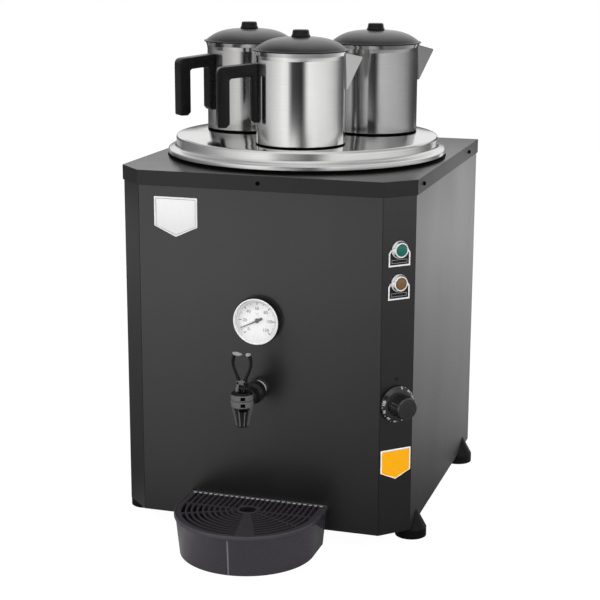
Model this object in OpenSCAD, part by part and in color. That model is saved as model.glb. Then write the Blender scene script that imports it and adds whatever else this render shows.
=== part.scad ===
// Hot water urn: a sheet-metal cabinet round a stainless tank, with a tap, a dial
// thermometer, a thermostat, a drip tray and three teapots kept warm on the tank's lid.
// Millimetres. The origin is on the counter, at the centre of the whole footprint.
// +X is to the right and -Y is the front, where the tap is.

/* [Cabinet] */
// Width over the top cap
cap_w = 400; // [392:1:440]
// Depth over the top cap
cap_d = 430; // [420:1:470]
// How far each cut-off front corner runs along the front and the side
corner_leg = 35.5; // [33:0.5:42]
// Height of the panels, from the base to the underside of the cap
body_h = 464.5; // [450:0.5:520]
// Height of the turned-down edge of the cap
skirt_h = 19.5; // [16:0.5:26]
// Sheet thickness of the panels
sheet = 1.2; // [1:0.1:1.6]
// Sheet thickness of the cap
cap_sheet = 1.5; // [1.2:0.1:2]
// Gap between the cap's skirt and the panels
cap_gap = 0.2; // [0.1:0.05:0.4]
// Height of the base plate's upturned edge
base_edge_h = 15; // [12:1:20]
// Width of the folds behind the front and back panels
fold_w = 12; // [8:1:16]
// Radius of the M4 cabinet screws
screw_r = 2; // [1.6:0.1:2.4]
// Distance of the side screws from the cabinet's middle
side_screw_y = 147; // [120:1:160]

/* [Feet] */
// Height of each rubber foot
foot_h = 21; // [16:1:32]
// Radius of a foot at the counter
foot_r = 21; // [17:0.5:23]
// Height of a foot's upright part
foot_low = 12; // [8:1:16]
// Height of the lobe that rises beside the side panel
lobe_h = 39; // [30:1:44]
// Radius of a foot at the top of its lobe
lobe_r = 6.5; // [5:0.5:8]
// Distance of a foot's screw from the side of the cap
foot_side = 12; // [10:1:14]
// How far a foot's centre lies outside its screw
foot_out = 3; // [0:0.5:4]
// Distance of the front feet from the front of the cap
foot_front = 73; // [60:1:90]
// Distance of the back feet from the back of the cap
foot_back = 45; // [40:1:70]

/* [Tank and lid] */
// Air gap between the insulation and the side panels
air_gap = 5.6; // [3:0.1:9]
// Room between the tank's fittings and the front panel's nuts
fitting_room = 14.9; // [4:0.1:20]
// Depth of the tank below the top of the cap
tank_depth = 322; // [300:1:330]
// Wall of the tank and of its lid
tank_wall = 1.2; // [1:0.1:1.5]
// Thickness of the insulation
insulation_t = 18; // [10:1:20]
// Length of the sockets welded to the tank
boss_len = 12; // [8:1:14]
// Height of the lid's top above the cap
lid_h = 27; // [24:0.5:32]
// How far the lid's flange reaches past the tank
lid_reach = 19.5; // [18:0.5:21]
// Radius of the three steam holes in the lid
steam_r = 45; // [38:1:50]

/* [Teapots] */
// Radius of a pot's body
pot_r = 59; // [55:0.5:62]
// Height of a pot's body
pot_h = 121.5; // [110:0.5:130]
// Wall of a pot
pot_wall = 0.9; // [0.8:0.1:1.2]
// Radius of a pot's lid
pot_lid_r = 63.5; // [60:0.5:66]
// Height of the dome of a pot's lid
dome_h = 16; // [12:0.5:20]
// Distance of each pot from the middle of the lid
pot_ring_r = 102; // [98:1:106]
// Direction of each pot from the middle of the lid
pot_at = [-78, 38.5, 160]; // [-180:0.5:180]
// Direction in which each spout points
spout_at = [27, 25, 45]; // [0:1:60]
// Reach of a spout's tip from its pot's axis
spout_reach = 82; // [78:1:86]
// Width of a handle across the hand
handle_t = 20; // [16:1:24]
// Clear gap for the fingers
finger_gap = 28; // [26:1:34]
// How far the handle's top bar falls towards its outer end
bar_fall = 5; // [0:0.5:8]

/* [Tap] */
// Height of the tap's shank
tap_z = 206.5; // [196:0.5:240]
// Distance of the spout from the front panel
tap_reach = 65; // [58:1:75]
// Radius of the tap's two collars
tap_collar_r = 14.5; // [13.5:0.5:16]
// Radius of the shank's thread
shank_r = 10; // [9:0.1:10.4]
// Radius of the outlet
outlet_r = 6; // [5:0.5:6.5]
// Lift of the valve when the lever is pulled fully forward
valve_lift = 3.3; // [2.5:0.1:3.3]
// Half of the spread of the lever's two horns
horn_spread = 12.5; // [10:0.5:15]

/* [Thermometer] */
// Height of the thermometer's middle
gauge_z = 299; // [285:1:330]
// Radius of its case
gauge_r = 31.5; // [28:0.5:36]
// Depth of its case
gauge_depth = 12; // [11:0.5:16]
// Length of the probe inside the tank
probe_len = 60; // [40:1:75]

/* [Corner controls] */
// Height of the green lamp
green_z = 400; // [385:1:420]
// Height of the amber lamp
amber_z = 357; // [340:1:358]
// Radius of a lamp's bezel
bezel_r = 11.75; // [10:0.25:12.5]
// Height of the thermostat knob
knob_z = 198; // [190:1:210]
// Radius of the knob's skirt
knob_r = 24.5; // [22:0.5:25]
// Radius of the knob's grip
grip_r = 14; // [11:0.5:15]
// How far the knob stands out
knob_h = 28; // [18:0.5:32]
// Height of the pointer dot above the knob's middle
dot_rise = 33; // [29:1:38]

/* [Plates] */
// Width of the shield plate on the front
badge_w = 59.4; // [50:0.2:70]
// Height of the shield plate on the front
badge_h = 52; // [45:0.5:60]
// Distance of the front plate's middle from the side of the cap
badge_side = 88; // [75:1:100]
// Distance of the front plate's top edge below the cap's skirt
badge_drop = 14; // [8:0.5:40]
// Width of the shield plate on the corner
tag_w = 45; // [38:0.5:47]
// Height of the shield plate on the corner
tag_h = 41; // [35:0.5:48]
// Height of the corner plate's top edge
tag_top = 137; // [125:1:150]

/* [Drip tray] */
// Outer radius of the tray's round front
tray_r = 96; // [88:1:110]
// Straight part between the panel and the round front
tray_straight = 45; // [40:1:60]
// Height of the tray
tray_h = 56; // [45:1:70]
// Wall of the tray
tray_wall = 2.5; // [2:0.1:3]
// How far the tray narrows towards its base
tray_taper = 5; // [3:0.5:7]
// Radius of the round hole in the grille
grille_hole_r = 11; // [8:0.5:13]
// Number of curved slots in the grille
slot_count = 10; // [6:1:11]

/* [Hidden] */
$fn = 96;
// Overlap that keeps a cut clear of the face that it goes through
eps = 0.5;
// Gap at rest between a piece that lifts or slides away and its seat
seat_gap = 0.3;
// Radial clearance of a turning pin
pin_gap = 0.05;
// Radial clearance of a thread or a screw in its hole
thread_gap = 0.05;

// Cabinet planes, measured from the cabinet's own middle
tray_reach = tray_straight + tray_r;
// How far the cable gland stands out of the back
gland_out = 10;
mid_y = (tray_reach - gland_out) / 2;
skin = cap_sheet + cap_gap;
body_w = cap_w - 2 * skin;
body_d = cap_d - 2 * skin;
front_y = -body_d / 2;
back_y = body_d / 2;
base_z = foot_h;
cap_under = base_z + body_h;
cap_top = cap_under + cap_sheet;
base_t = 1.5;
// Seam between the front panel and each side panel
panel_gap = 0.4;
// Leg of the cut-off corner on an outline set in by i from the cap
function corner_at(i) = corner_leg - i * (2 - sqrt(2));
fold_x = cap_w / 2 - skin - corner_at(skin);
// Distance from the cabinet's middle to the middle of the cut-off corner's face, along its normal
corner_x = body_w / 2 - corner_at(skin) / 2;
corner_y = front_y + corner_at(skin) / 2;
corner_reach = (corner_x - corner_y) / sqrt(2);
cap_screw_z = cap_top - skirt_h / 2;
badge_top = cap_top - skirt_h - badge_drop;
screw_head_r = 2 * screw_r;
screw_head_h = 1.1 * screw_r;
screw_len = 8;
// The folds end this far above the base plate's edge
fold_gap = 1;

// Feet
foot_spots = [[-1, -1], [1, -1], [-1, 1], [1, 1]];
foot_hole_r = 2.7;
foot_screw_r = 2.5;
foot_head_r = 5;
foot_recess = 7;
foot_head_h = 3;
foot_nut_h = 4;
// Corner radius of an M5 nut, as a multiple of its screw's radius
nut_ratio = 1.8;

// Nuts and gaskets of the fittings that pass through the tank's wall
nut_h = 5;
nut_w = 5;
nut_r = shank_r + nut_w;
gasket_t = 2;
// Room for a spanner round a nut in the insulation
nut_room = 1;

// Tank: the widest that leaves the insulation and the fittings their room
tank_r = min(body_w / 2 - sheet - air_gap - insulation_t - seat_gap - tank_wall,
             body_d / 2 - sheet - 2 * nut_h - fitting_room - gasket_t - boss_len - tank_wall);
tank_out = tank_r + tank_wall;
tank_floor = cap_top - tank_depth;
tank_rim_w = 15;
tank_rim_r = tank_r + tank_rim_w;
boss_wall = 4;
boss_r = shank_r + boss_wall;
boss_face = tank_out + boss_len;
cap_hole_gap = 2;
cap_hole_r = tank_out + cap_hole_gap;
// The seal lies on the outer part of the tank's rim
seal_w = 6;
seal_in = tank_rim_r - seal_w;
lid_flange_r = tank_r + lid_reach;
// How far the lid's flat disc stops short of its flange
lid_flange_w = 13;
lid_disc_r = lid_flange_r - lid_flange_w;
lid_top = cap_top + lid_h;
// Height of the flange and of its lip above the cap
flange_rise = 9;
lip_rise = 4.2;
lid_flange_z = cap_top + flange_rise;
lid_lip_z = cap_top + lip_rise;
seal_top = lid_flange_z - 0.2;
steam_collar_h = 6;
// The insulation ends this far under the cap
insulation_gap = 4;

// Heating element
element_r = 4;
element_ring_r = 90;
element_leg_x = 14;
element_rise = 24;
element_hole_r = 24;
element_flange_r = 40;
element_flange_t = 3;
stud_circle_r = 32;
stud_r = 2.5;
stud_len = 12;
tail_len = 16;
// The tails stand inside the hole, on the flange
element_flange_top = tank_floor - gasket_t;

// Thermostat
// The thermowell's height above the knob
well_rise = 54;
well_z = knob_z + well_rise;
well_r = 4.5;
well_wall = 1;
well_len = 85;
bulb_r = 3.2;
bulb_len = 65;
// How far the capillary starts inside the bulb's end
capillary_in = 5;
// How far the capillary bows out of the thermowell and over the thermostat
capillary_bow = 12;
capillary_rise = 8;
thermostat_w = 36;
thermostat_depth = 34;
spindle_r = 3;
spindle_len = 14;
// Knob, from the panel outwards: gap, disc, printed cone, then the grip
knob_gap = 1;
knob_disc_h = 2;
knob_cone_h = 4;
knob_cone_in = 5;
grip_draft = 1.5;
dot_r = 2.2;
dot_h = 0.4;
capillary_r = 1;

// Lamps
lamp_hole_r = 8.2;
lamp_r = 8;
lens_r = 6.2;
// Radius of the recess round the lens
recess_r = 8.6;
plate_t = 0.8;
plate_half_w = 16;
plate_drop = 21.5;
// Depth below the lamp at which the plate's slanted shoulders begin
plate_shoulder = 4;
bezel_h = 6;
// Flat foot of a bezel, under its cone
bezel_foot = 2;
bezel_round = 0.8;
lens_dome_h = 2;
lens_dome_in = 2.5;
lamp_len = 34;
lamp_nut_h = 5;
lamp_nut_w = 3;
tag_t = 0.6;
tag_edge = 30.75;
badge_t = 1.5;
badge_edge = 38.48;

// Thermometer, along its own axis from the panel's face
case_back = 0.5;
case_wall = 1.5;
dial_at = 4;
dial_t = 0.8;
glass_t = 1.2;
bezel_lip = 3;
staff_r = 0.8;
needle_len = gauge_r - 6.6;
needle_tail = 7;
needle_hub_r = 3;
needle_hub_h = 1.6;
needle_t = 0.6;
needle_rest = -116;
probe_r = 3;

// Tap, measured from its own upright axis
tap_y = front_y - tap_reach;
// Heights of the two collars, of the gap between them and of the spout, about the shank's axis
low_rise = 4.3;
low_drop = 4.5;
collar_gap = 0.3;
bonnet_h = 10.1;
spout_drop = 31;
tap_low_top = tap_z + low_rise;
tap_low_bottom = tap_z - low_drop;
bonnet_bottom = tap_low_top + collar_gap;
bonnet_top = bonnet_bottom + bonnet_h;
outlet_z = tap_z - spout_drop;
arm_r = 11.5;
// Wall at the spout's mouth, its radius under the collar and the depth of its wide bore
spout_wall = 1.8;
spout_top_r = 12.3;
outlet_depth = 20;
// The round arm starts this far behind the collars
arm_step = 2;
chamber_r = 8.5;
neck_r = 11;
neck_gap = 3;
neck_top = bonnet_top - neck_gap;
bonnet_t = 2.2;
ceiling_z = bonnet_top - bonnet_t;
seat_r = 5;
seat_drop = 3.5;
seat_z = tap_z - seat_drop;
cup_r = 7;
cup_h = 5.5;
cup_floor = 1.4;
stem_r = 3;
shank_bore_r = 5.5;
cam_r = 4;
// Turn of the lever when the valve is fully open
lever_turn = 40;
cam_shift = valve_lift / sin(lever_turn);
pin_r = 1.5;
pin_z = bonnet_top + seat_gap + cam_r;
pin_half = 6.4;
stem_head_w = 5;
stem_head_half = 3;
// The lever's cheeks pass the stem and its head on both sides
cheek_in = stem_r + 0.1;
cheek_out = 6.2;
web_low = 5.6;
web_top = 10.5;
horn_r = 2.2;
horn_bend = 28;
horn_mid = 30.5;
horn_tip = 14;
tap_collar_len = 10;
shank_end = 6;
spring_r = 5.4;
spring_wire = 0.5;
spring_turns = 4;
spring_sides = 8;

// Teapots
pot_rest_z = lid_top + seat_gap;
pot_lid_z = pot_h + seat_gap;
pot_rim_t = 2.7;
pot_flare = 2.6;
spout_low = 72;
spout_tip_z = pot_h - 9;
spout_top = pot_h - 3;
spout_half_w = 18;
leg_in = 8;
leg_out = 16;
bar_low = 90;
bar_high = 106;
leg_in_low = 29;
leg_out_low = 23;
handle_round = 6;
knob_base_r = 12;
knob_top_r = 10;
pot_knob_h = 9.5;
knob_foot_h = 2.5;
knob_edge_h = 1;
plug_gap = 0.6;
plug_h = 7;

// Drip tray
tray_floor_t = 2.5;
tray_lip_h = 6;
// How far the tray's rim stands out past its wall
tray_lip = 2;
grille_t = 3;
grille_top = tray_h - 1;
grille_gap = 0.4;
ledge_w = 3;
slot_in = grille_hole_r + 4;
grille_r = tray_r - tray_wall - grille_gap;
slot_out = grille_r - 4;
slot_pitch = (slot_out - slot_in) / slot_count;
slot_w = 0.66 * slot_pitch;
// Slots on each side between the round ones and the middle
inner_slots = 2;
ring_w = 3;
rim_w = 3;
grille_back = tray_wall + seat_gap + grille_gap;
rib_w = 2.4;
rib_slant = 25;
inner_w = (slot_in - rib_w / 2) / inner_slots - rib_w;
wedge_half = 14;
wedge_root = 3;
// The plain wedge points a little to the right of straight ahead
wedge_turn = 16;

// Back panel
gland_x = -120;
gland_z = 60;
gland_bore_r = 4.5;
gland_r = 8;
gland_hex_r = 12;
vent_count = 6;
vent_w = 50;
vent_h = 4;
vent_pitch = 9;
// Middle of each group of vents from the cabinet's middle, and its lowest vent above the base
vent_x = 70;
vent_low = 70;
gland_nut_h = 4;
gland_len = 14;

// Inside the base
block_w = 52;
block_d = 22;
block_h = 18;
block_x = -95;
block_y = 120;
limiter_x = 78;
limiter_y = -48;
limiter_r = 12;
limiter_h = 14;
terminal_r = 3.5;
terminal_depth = 6;
lead_r = 1.4;
// Height of the lowest lead above the base, and the step from one lead to the next
lead_low = 40;
lead_step = 8;
// How far behind the corner's face the leads climb to the thermostat
lead_back = 42;

// ---- helpers ----

module in_place() translate([0, mid_y, 0]) children();

// Cabinet outline set in by i from the cap's outer faces
module outline(i) {
    w = cap_w / 2 - i;
    d = cap_d / 2 - i;
    k = corner_at(i);
    polygon([[-w, d], [-w, k - d], [k - w, -d], [w - k, -d], [w, k - d], [w, d]]);
}

module band(i, t) {
    difference() {
        outline(i);
        outline(i + t);
    }
}

// Local +Z points out of the face that is turned by the angle, and local +Y points up
module facing(turn) rotate([90, 0, turn]) children();

module on_front(x, z) translate([x, front_y, z]) facing(0) children();

module on_corner(z) translate([corner_x, corner_y, z]) facing(45) children();

module tube(r_out, r_in, h) {
    difference() {
        cylinder(r = r_out, h = h);
        translate([0, 0, -eps]) cylinder(r = r_in, h = h + 2 * eps);
    }
}

// A round bar from a to b
module rod(a, b, r) {
    v = b - a;
    translate(a)
        rotate([0, acos(v.z / norm(v)), atan2(v.y, v.x)])
            cylinder(r = r, h = norm(v), $fn = 24);
}

// A round bar through a list of points, with ball corners
module bent_rod(points, r) {
    for (i = [0 : len(points) - 2]) rod(points[i], points[i + 1], r);
    for (i = [1 : 1 : len(points) - 2]) translate(points[i]) sphere(r = 1.1 * r, $fn = 24);
}

// A shield: flat top, upright sides and a shallow point below
module shield(w, h, side) {
    polygon([[-w / 2, 0], [w / 2, 0], [w / 2, -side], [0, -h], [-w / 2, -side]]);
}

module pan_screw(r, head_r, head_h, length) {
    translate([0, 0, -length]) cylinder(r = r, h = length, $fn = 32);
    cylinder(r = head_r, h = head_h, $fn = 48);
}

// Every cabinet screw: its place on the skirt and the way that it faces
function cabinet_screw_spots() = [
    [[0, -cap_d / 2], 0],
    [[cap_w / 2, -side_screw_y], 90], [[cap_w / 2, side_screw_y], 90],
    [[-cap_w / 2, -side_screw_y], -90], [[-cap_w / 2, side_screw_y], -90],
    [[-side_screw_y, cap_d / 2], 180], [[side_screw_y, cap_d / 2], 180]];

module at_cabinet_screws()
    for (s = cabinet_screw_spots())
        translate([s[0].x, s[0].y, cap_screw_z]) facing(s[1]) children();

module screw_holes()
    at_cabinet_screws()
        translate([0, 0, -2 * screw_len]) cylinder(r = screw_r + thread_gap, h = 3 * screw_len, $fn = 32);

module at_feet(out)
    for (s = foot_spots)
        translate([s.x * (cap_w / 2 - foot_side + out),
                   s.y < 0 ? foot_front - cap_d / 2 : cap_d / 2 - foot_back, 0]) children();

// ---- cabinet ----

module base_plate() {
    color("dimgray") in_place() difference() {
        translate([0, 0, base_z]) union() {
            linear_extrude(base_t) outline(skin + sheet);
            linear_extrude(base_edge_h) band(skin + sheet, base_t);
        }
        at_feet(0) cylinder(r = foot_hole_r, h = 2 * base_z + base_t, $fn = 32);
    }
}

module rubber_feet() {
    color([0.06, 0.06, 0.06]) in_place() difference() {
        at_feet(foot_out) {
            cylinder(r = foot_r, h = foot_low);
            translate([0, 0, foot_low]) cylinder(r1 = foot_r, r2 = lobe_r, h = lobe_h - foot_low);
        }
        // the cabinet stands on the foot, and the lobe rises beside it
        translate([0, 0, base_z]) linear_extrude(lobe_h) outline(skin);
        at_feet(0) {
            translate([0, 0, -eps]) cylinder(r = foot_hole_r, h = foot_h + 2 * eps, $fn = 32);
            translate([0, 0, -eps]) cylinder(r = foot_head_r + 1, h = foot_recess + eps, $fn = 48);
        }
    }
}

module foot_screws() {
    color("silver") in_place() at_feet(0) {
        translate([0, 0, foot_recess - foot_head_h]) cylinder(r = foot_head_r, h = foot_head_h, $fn = 48);
        translate([0, 0, foot_recess])
            cylinder(r = foot_screw_r, h = foot_h + base_t + foot_nut_h - foot_recess, $fn = 32);
        translate([0, 0, base_z + base_t]) difference() {
            cylinder(r = nut_ratio * foot_screw_r, h = foot_nut_h, $fn = 6);
            translate([0, 0, -eps])
                cylinder(r = foot_screw_r + thread_gap, h = foot_nut_h + 2 * eps, $fn = 32);
        }
    }
}

// One side of the cabinet with its cut-off front corner
module wall_shape() intersection() {
    band(skin, sheet);
    translate([fold_x, -cap_d / 2]) square([cap_w, cap_d / 2 + back_y - sheet]);
}

// The folds that the front and the back panel lie on
module fold_shapes() {
    intersection() {
        band(skin + sheet, sheet);
        translate([fold_x - fold_w, -cap_d / 2]) square([fold_w + 1.5 * sheet, corner_leg]);
    }
    translate([body_w / 2 - sheet - fold_w, back_y - 2 * sheet]) square([fold_w, sheet]);
}

module side_panel() {
    z_fold = base_z + base_edge_h + fold_gap;
    difference() {
        union() {
            translate([0, 0, base_z]) linear_extrude(body_h) wall_shape();
            translate([0, 0, z_fold]) linear_extrude(cap_under - z_fold) {
                wall_shape();
                fold_shapes();
            }
        }
        screw_holes();
    }
}

module left_side_panel() color([0.1, 0.1, 0.1]) in_place() mirror([1, 0, 0]) side_panel();

module right_side_panel() {
    color([0.1, 0.1, 0.1]) in_place() difference() {
        side_panel();
        for (z = [green_z, amber_z])
            on_corner(z) translate([0, 0, -2 * sheet]) cylinder(r = lamp_hole_r, h = 3 * sheet);
        on_corner(knob_z) translate([0, 0, -2 * sheet]) cylinder(r = spindle_r + 1, h = 3 * sheet);
    }
}

module front_panel() {
    color([0.1, 0.1, 0.1]) in_place() difference() {
        translate([panel_gap - fold_x, front_y, base_z]) cube([2 * (fold_x - panel_gap), sheet, body_h]);
        for (z = [gauge_z, tap_z])
            on_front(0, z) translate([0, 0, -2 * sheet]) cylinder(r = shank_r + thread_gap, h = 3 * sheet);
        screw_holes();
    }
}

module back_panel() {
    color([0.1, 0.1, 0.1]) in_place() difference() {
        translate([-body_w / 2, back_y - sheet, base_z]) cube([body_w, sheet, body_h]);
        translate([gland_x, back_y, gland_z]) facing(180) translate([0, 0, -2 * sheet])
            cylinder(r = gland_r + thread_gap, h = 3 * sheet);
        for (side = [-1, 1], i = [0 : vent_count - 1])
            translate([side * vent_x - vent_w / 2, back_y - 2 * sheet, base_z + vent_low + vent_pitch * i])
                cube([vent_w, 3 * sheet, vent_h]);
        screw_holes();
    }
}

module cabinet_screws() {
    color("silver") in_place() at_cabinet_screws() {
        pan_screw(screw_r, screw_head_r, screw_head_h, screw_len);
    }
}

module top_cap() {
    color([0.12, 0.12, 0.12]) in_place() difference() {
        union() {
            translate([0, 0, cap_under]) linear_extrude(cap_sheet) outline(0);
            translate([0, 0, cap_top - skirt_h]) linear_extrude(skirt_h) band(0, cap_sheet);
        }
        translate([0, 0, cap_under - eps]) cylinder(r = cap_hole_r, h = cap_sheet + 2 * eps);
        screw_holes();
    }
}

// ---- tank ----

// A threaded socket on the tank's wall, along local +Z
module boss() translate([0, 0, tank_r + tank_wall / 2])
    cylinder(r = boss_r, h = boss_face - tank_r - tank_wall / 2);

module boss_bore() translate([0, 0, tank_r - boss_len])
    cylinder(r = shank_r + thread_gap, h = 3 * boss_len);

module at_bosses() {
    for (z = [gauge_z, tap_z]) translate([0, 0, z]) facing(0) children();
    translate([0, 0, well_z]) facing(45) children();
}

module at_studs() for (a = [45 : 90 : 315]) rotate(a) translate([stud_circle_r, 0, 0]) children();

module water_tank() {
    color("silver") in_place() difference() {
        union() {
            difference() {
                union() {
                    translate([0, 0, tank_floor]) cylinder(r = tank_out, h = tank_depth);
                    translate([0, 0, cap_top]) cylinder(r = tank_rim_r, h = tank_wall);
                    at_bosses() boss();
                }
                translate([0, 0, tank_floor + tank_wall]) cylinder(r = tank_r, h = tank_depth + tank_wall);
                translate([0, 0, tank_floor - eps]) cylinder(r = element_hole_r, h = tank_wall + 2 * eps);
                at_bosses() boss_bore();
            }
            at_studs() translate([0, 0, tank_floor - stud_len]) cylinder(r = stud_r, h = stud_len, $fn = 32);
        }
    }
}

module tank_insulation() {
    top = cap_under - insulation_gap;
    color("khaki") in_place() difference() {
        translate([0, 0, tank_floor])
            tube(tank_out + seat_gap + insulation_t, tank_out + seat_gap, top - tank_floor);
        at_bosses() translate([0, 0, tank_r - boss_len])
            cylinder(r = nut_r + nut_room, h = 2 * (insulation_t + boss_len));
    }
}

module tank_seal() {
    color([0.05, 0.05, 0.05]) in_place() translate([0, 0, cap_top + tank_wall])
        tube(tank_rim_r + 0.5, seal_in, seal_top - cap_top - tank_wall);
}

module heating_element() {
    ring_z = tank_floor + element_rise;
    end_a = acos(element_leg_x / element_ring_r);
    end_y = element_ring_r * sin(end_a);
    color("gray") in_place() difference() {
        union() {
            translate([0, 0, element_flange_top - element_flange_t])
                cylinder(r = element_flange_r, h = element_flange_t);
            for (side = [-1, 1]) {
                x = side * element_leg_x;
                translate([x, 0, element_flange_top - element_flange_t - tail_len])
                    cylinder(r = element_r, h = ring_z - element_flange_top + element_flange_t + tail_len, $fn = 32);
                rod([x, 0, ring_z], [x, end_y, ring_z], element_r - 0.5);
                for (y = [0, end_y]) translate([x, y, ring_z]) sphere(r = element_r + 0.7, $fn = 24);
            }
            translate([0, 0, ring_z]) rotate(180 - end_a) rotate_extrude(angle = 180 + 2 * end_a)
                translate([element_ring_r, 0]) circle(r = element_r, $fn = 24);
        }
        at_studs() translate([0, 0, element_flange_top - element_flange_t - eps])
            cylinder(r = stud_r + thread_gap, h = element_flange_t + 2 * eps, $fn = 32);
    }
}

module element_nuts() {
    color("silver") in_place() at_studs() difference() {
        translate([0, 0, element_flange_top - element_flange_t - foot_nut_h])
            cylinder(r = nut_ratio * stud_r, h = foot_nut_h, $fn = 6);
        translate([0, 0, tank_floor - 2 * stud_len])
            cylinder(r = stud_r + thread_gap, h = 2 * stud_len, $fn = 32);
    }
}

// Along local +Z, out of the tank
module thermowell() {
    color("silver") in_place() translate([0, 0, well_z]) facing(45) difference() {
        union() {
            translate([0, 0, boss_face + gasket_t]) cylinder(r = nut_r, h = nut_h, $fn = 6);
            translate([0, 0, tank_r]) cylinder(r = shank_r, h = boss_face + gasket_t - tank_r);
            translate([0, 0, tank_r - well_len]) cylinder(r = well_r, h = well_len + 1, $fn = 48);
        }
        translate([0, 0, tank_r - well_len + well_wall])
            cylinder(r = bulb_r + 0.2, h = well_len + 3 * boss_len, $fn = 48);
    }
}

// ---- corner controls ----

module thermostat_body() {
    h = thermostat_depth;
    color("ivory") in_place() on_corner(knob_z) {
        translate([-thermostat_w / 2, -thermostat_w / 2, -sheet - h]) cube([thermostat_w, thermostat_w, h]);
        translate([0, 0, -sheet - eps]) cylinder(r = spindle_r, h = spindle_len + sheet + eps, $fn = 48);
    }
}

// Bulb in the thermowell, and the capillary that bows over to the thermostat
module thermostat_bulb() {
    bulb_low = tank_r - well_len + well_wall + seat_gap;
    out = boss_face + gasket_t + nut_h;
    // top and middle of the thermostat, seen from the well
    top = knob_z - well_z + thermostat_w / 2;
    middle = corner_reach - sheet - thermostat_depth / 2;
    color("goldenrod") in_place() translate([0, 0, well_z]) facing(45) {
        translate([0, 0, bulb_low])
            cylinder(r = bulb_r, h = bulb_len, $fn = 48);
        bent_rod([[0, 0, bulb_low + bulb_len - capillary_in], [0, 0, out + capillary_bow],
                  [0, top + capillary_rise, out + capillary_bow],
                  [0, top + capillary_rise, middle], [0, top, middle]],
            capillary_r);
    }
}

module thermostat_knob() {
    cone_z = knob_gap + knob_disc_h;
    grip_z = cone_z + knob_cone_h;
    color([0.08, 0.08, 0.08]) in_place() on_corner(knob_z) difference() {
        union() {
            translate([0, 0, knob_gap]) cylinder(r = knob_r, h = knob_disc_h);
            translate([0, 0, cone_z]) cylinder(r1 = knob_r, r2 = knob_r - knob_cone_in, h = knob_cone_h);
            translate([0, 0, grip_z]) cylinder(r1 = grip_r + grip_draft, r2 = grip_r, h = knob_h - grip_z);
        }
        translate([0, 0, -eps]) cylinder(r = spindle_r + pin_gap, h = spindle_len + seat_gap + eps, $fn = 48);
    }
}

module pointer_dot()
    color([0.05, 0.05, 0.05]) in_place() on_corner(knob_z + dot_rise) cylinder(r = dot_r, h = dot_h, $fn = 48);

module at_lamps() for (z = [green_z, amber_z]) in_place() on_corner(z) children();

module plate_shape() {
    circle(r = bezel_r + 1);
    polygon([[-plate_half_w, -plate_drop], [plate_half_w, -plate_drop], [plate_half_w, -plate_shoulder],
             [bezel_r, plate_shoulder / 2], [-bezel_r, plate_shoulder / 2], [-plate_half_w, -plate_shoulder]]);
}

module lamp_plates() {
    color([0.15, 0.15, 0.15]) at_lamps() linear_extrude(plate_t) difference() {
        plate_shape();
        circle(r = lamp_hole_r);
    }
}

module lamp_bezels() {
    color("silver") at_lamps() translate([0, 0, plate_t]) difference() {
        union() {
            cylinder(r = bezel_r, h = bezel_foot);
            translate([0, 0, bezel_foot])
                cylinder(r1 = bezel_r, r2 = recess_r + bezel_round, h = bezel_h - bezel_foot);
        }
        translate([0, 0, -eps]) cylinder(r = recess_r, h = bezel_h + 2 * eps);
    }
}

module lens() {
    dome_z = plate_t + bezel_h - lens_dome_h / 2;
    low = plate_t + bezel_foot;
    translate([0, 0, low]) cylinder(r = lens_r, h = dome_z - low);
    translate([0, 0, dome_z]) cylinder(r1 = lens_r, r2 = lens_r - lens_dome_in, h = lens_dome_h);
}

module green_lens() color("seagreen") in_place() on_corner(green_z) lens();

module amber_lens() color("peru") in_place() on_corner(amber_z) lens();

module lamp_bodies() {
    color([0.2, 0.2, 0.2]) at_lamps() {
        translate([0, 0, -lamp_len]) cylinder(r = lamp_r, h = lamp_len + plate_t + bezel_foot);
        // ring nut behind the panel
        translate([0, 0, -sheet - lamp_nut_h]) cylinder(r = lamp_r + lamp_nut_w, h = lamp_nut_h);
    }
}

module side_badge()
    color("goldenrod") in_place() on_corner(tag_top)
        linear_extrude(tag_t) shield(tag_w, tag_h, tag_edge);

module badge_plate()
    color("silver") in_place() on_front(badge_side - cap_w / 2, badge_top)
        linear_extrude(badge_t) shield(badge_w, badge_h, badge_edge);

// ---- thermometer ----

module gauge_case() {
    color("silver") in_place() on_front(0, gauge_z) difference() {
        translate([0, 0, case_back]) cylinder(r = gauge_r, h = gauge_depth - case_back);
        translate([0, 0, dial_at]) cylinder(r = gauge_r - case_wall, h = gauge_depth - case_wall - dial_at);
        translate([0, 0, case_back + case_wall]) cylinder(r = gauge_r - bezel_lip, h = gauge_depth);
        translate([0, 0, -eps]) cylinder(r = staff_r + pin_gap, h = gauge_depth, $fn = 32);
    }
}

module gauge_dial() {
    color("white") in_place() on_front(0, gauge_z) translate([0, 0, dial_at])
        tube(gauge_r - case_wall - 0.1, staff_r + pin_gap, dial_t, $fn = 64);
}

module gauge_glass() {
    color([0.8, 0.9, 0.9, 0.3]) in_place() on_front(0, gauge_z)
        translate([0, 0, gauge_depth - case_wall - glass_t]) cylinder(r = gauge_r - case_wall - 0.1, h = glass_t);
}

module gauge_needle() {
    hub_z = dial_at + dial_t + seat_gap;
    color("black") in_place() on_front(0, gauge_z) {
        translate([0, 0, case_back + seat_gap]) cylinder(r = staff_r, h = hub_z - case_back, $fn = 32);
        translate([0, 0, hub_z]) cylinder(r = needle_hub_r, h = needle_hub_h, $fn = 48);
        translate([0, 0, hub_z + (needle_hub_h - needle_t) * 0.4]) rotate(-needle_rest) linear_extrude(needle_t)
            polygon([[-1.1, -needle_tail], [1.1, -needle_tail], [0.9, 0], [0.25, needle_len],
                     [-0.25, needle_len], [-0.9, 0]]);
    }
}

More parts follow.
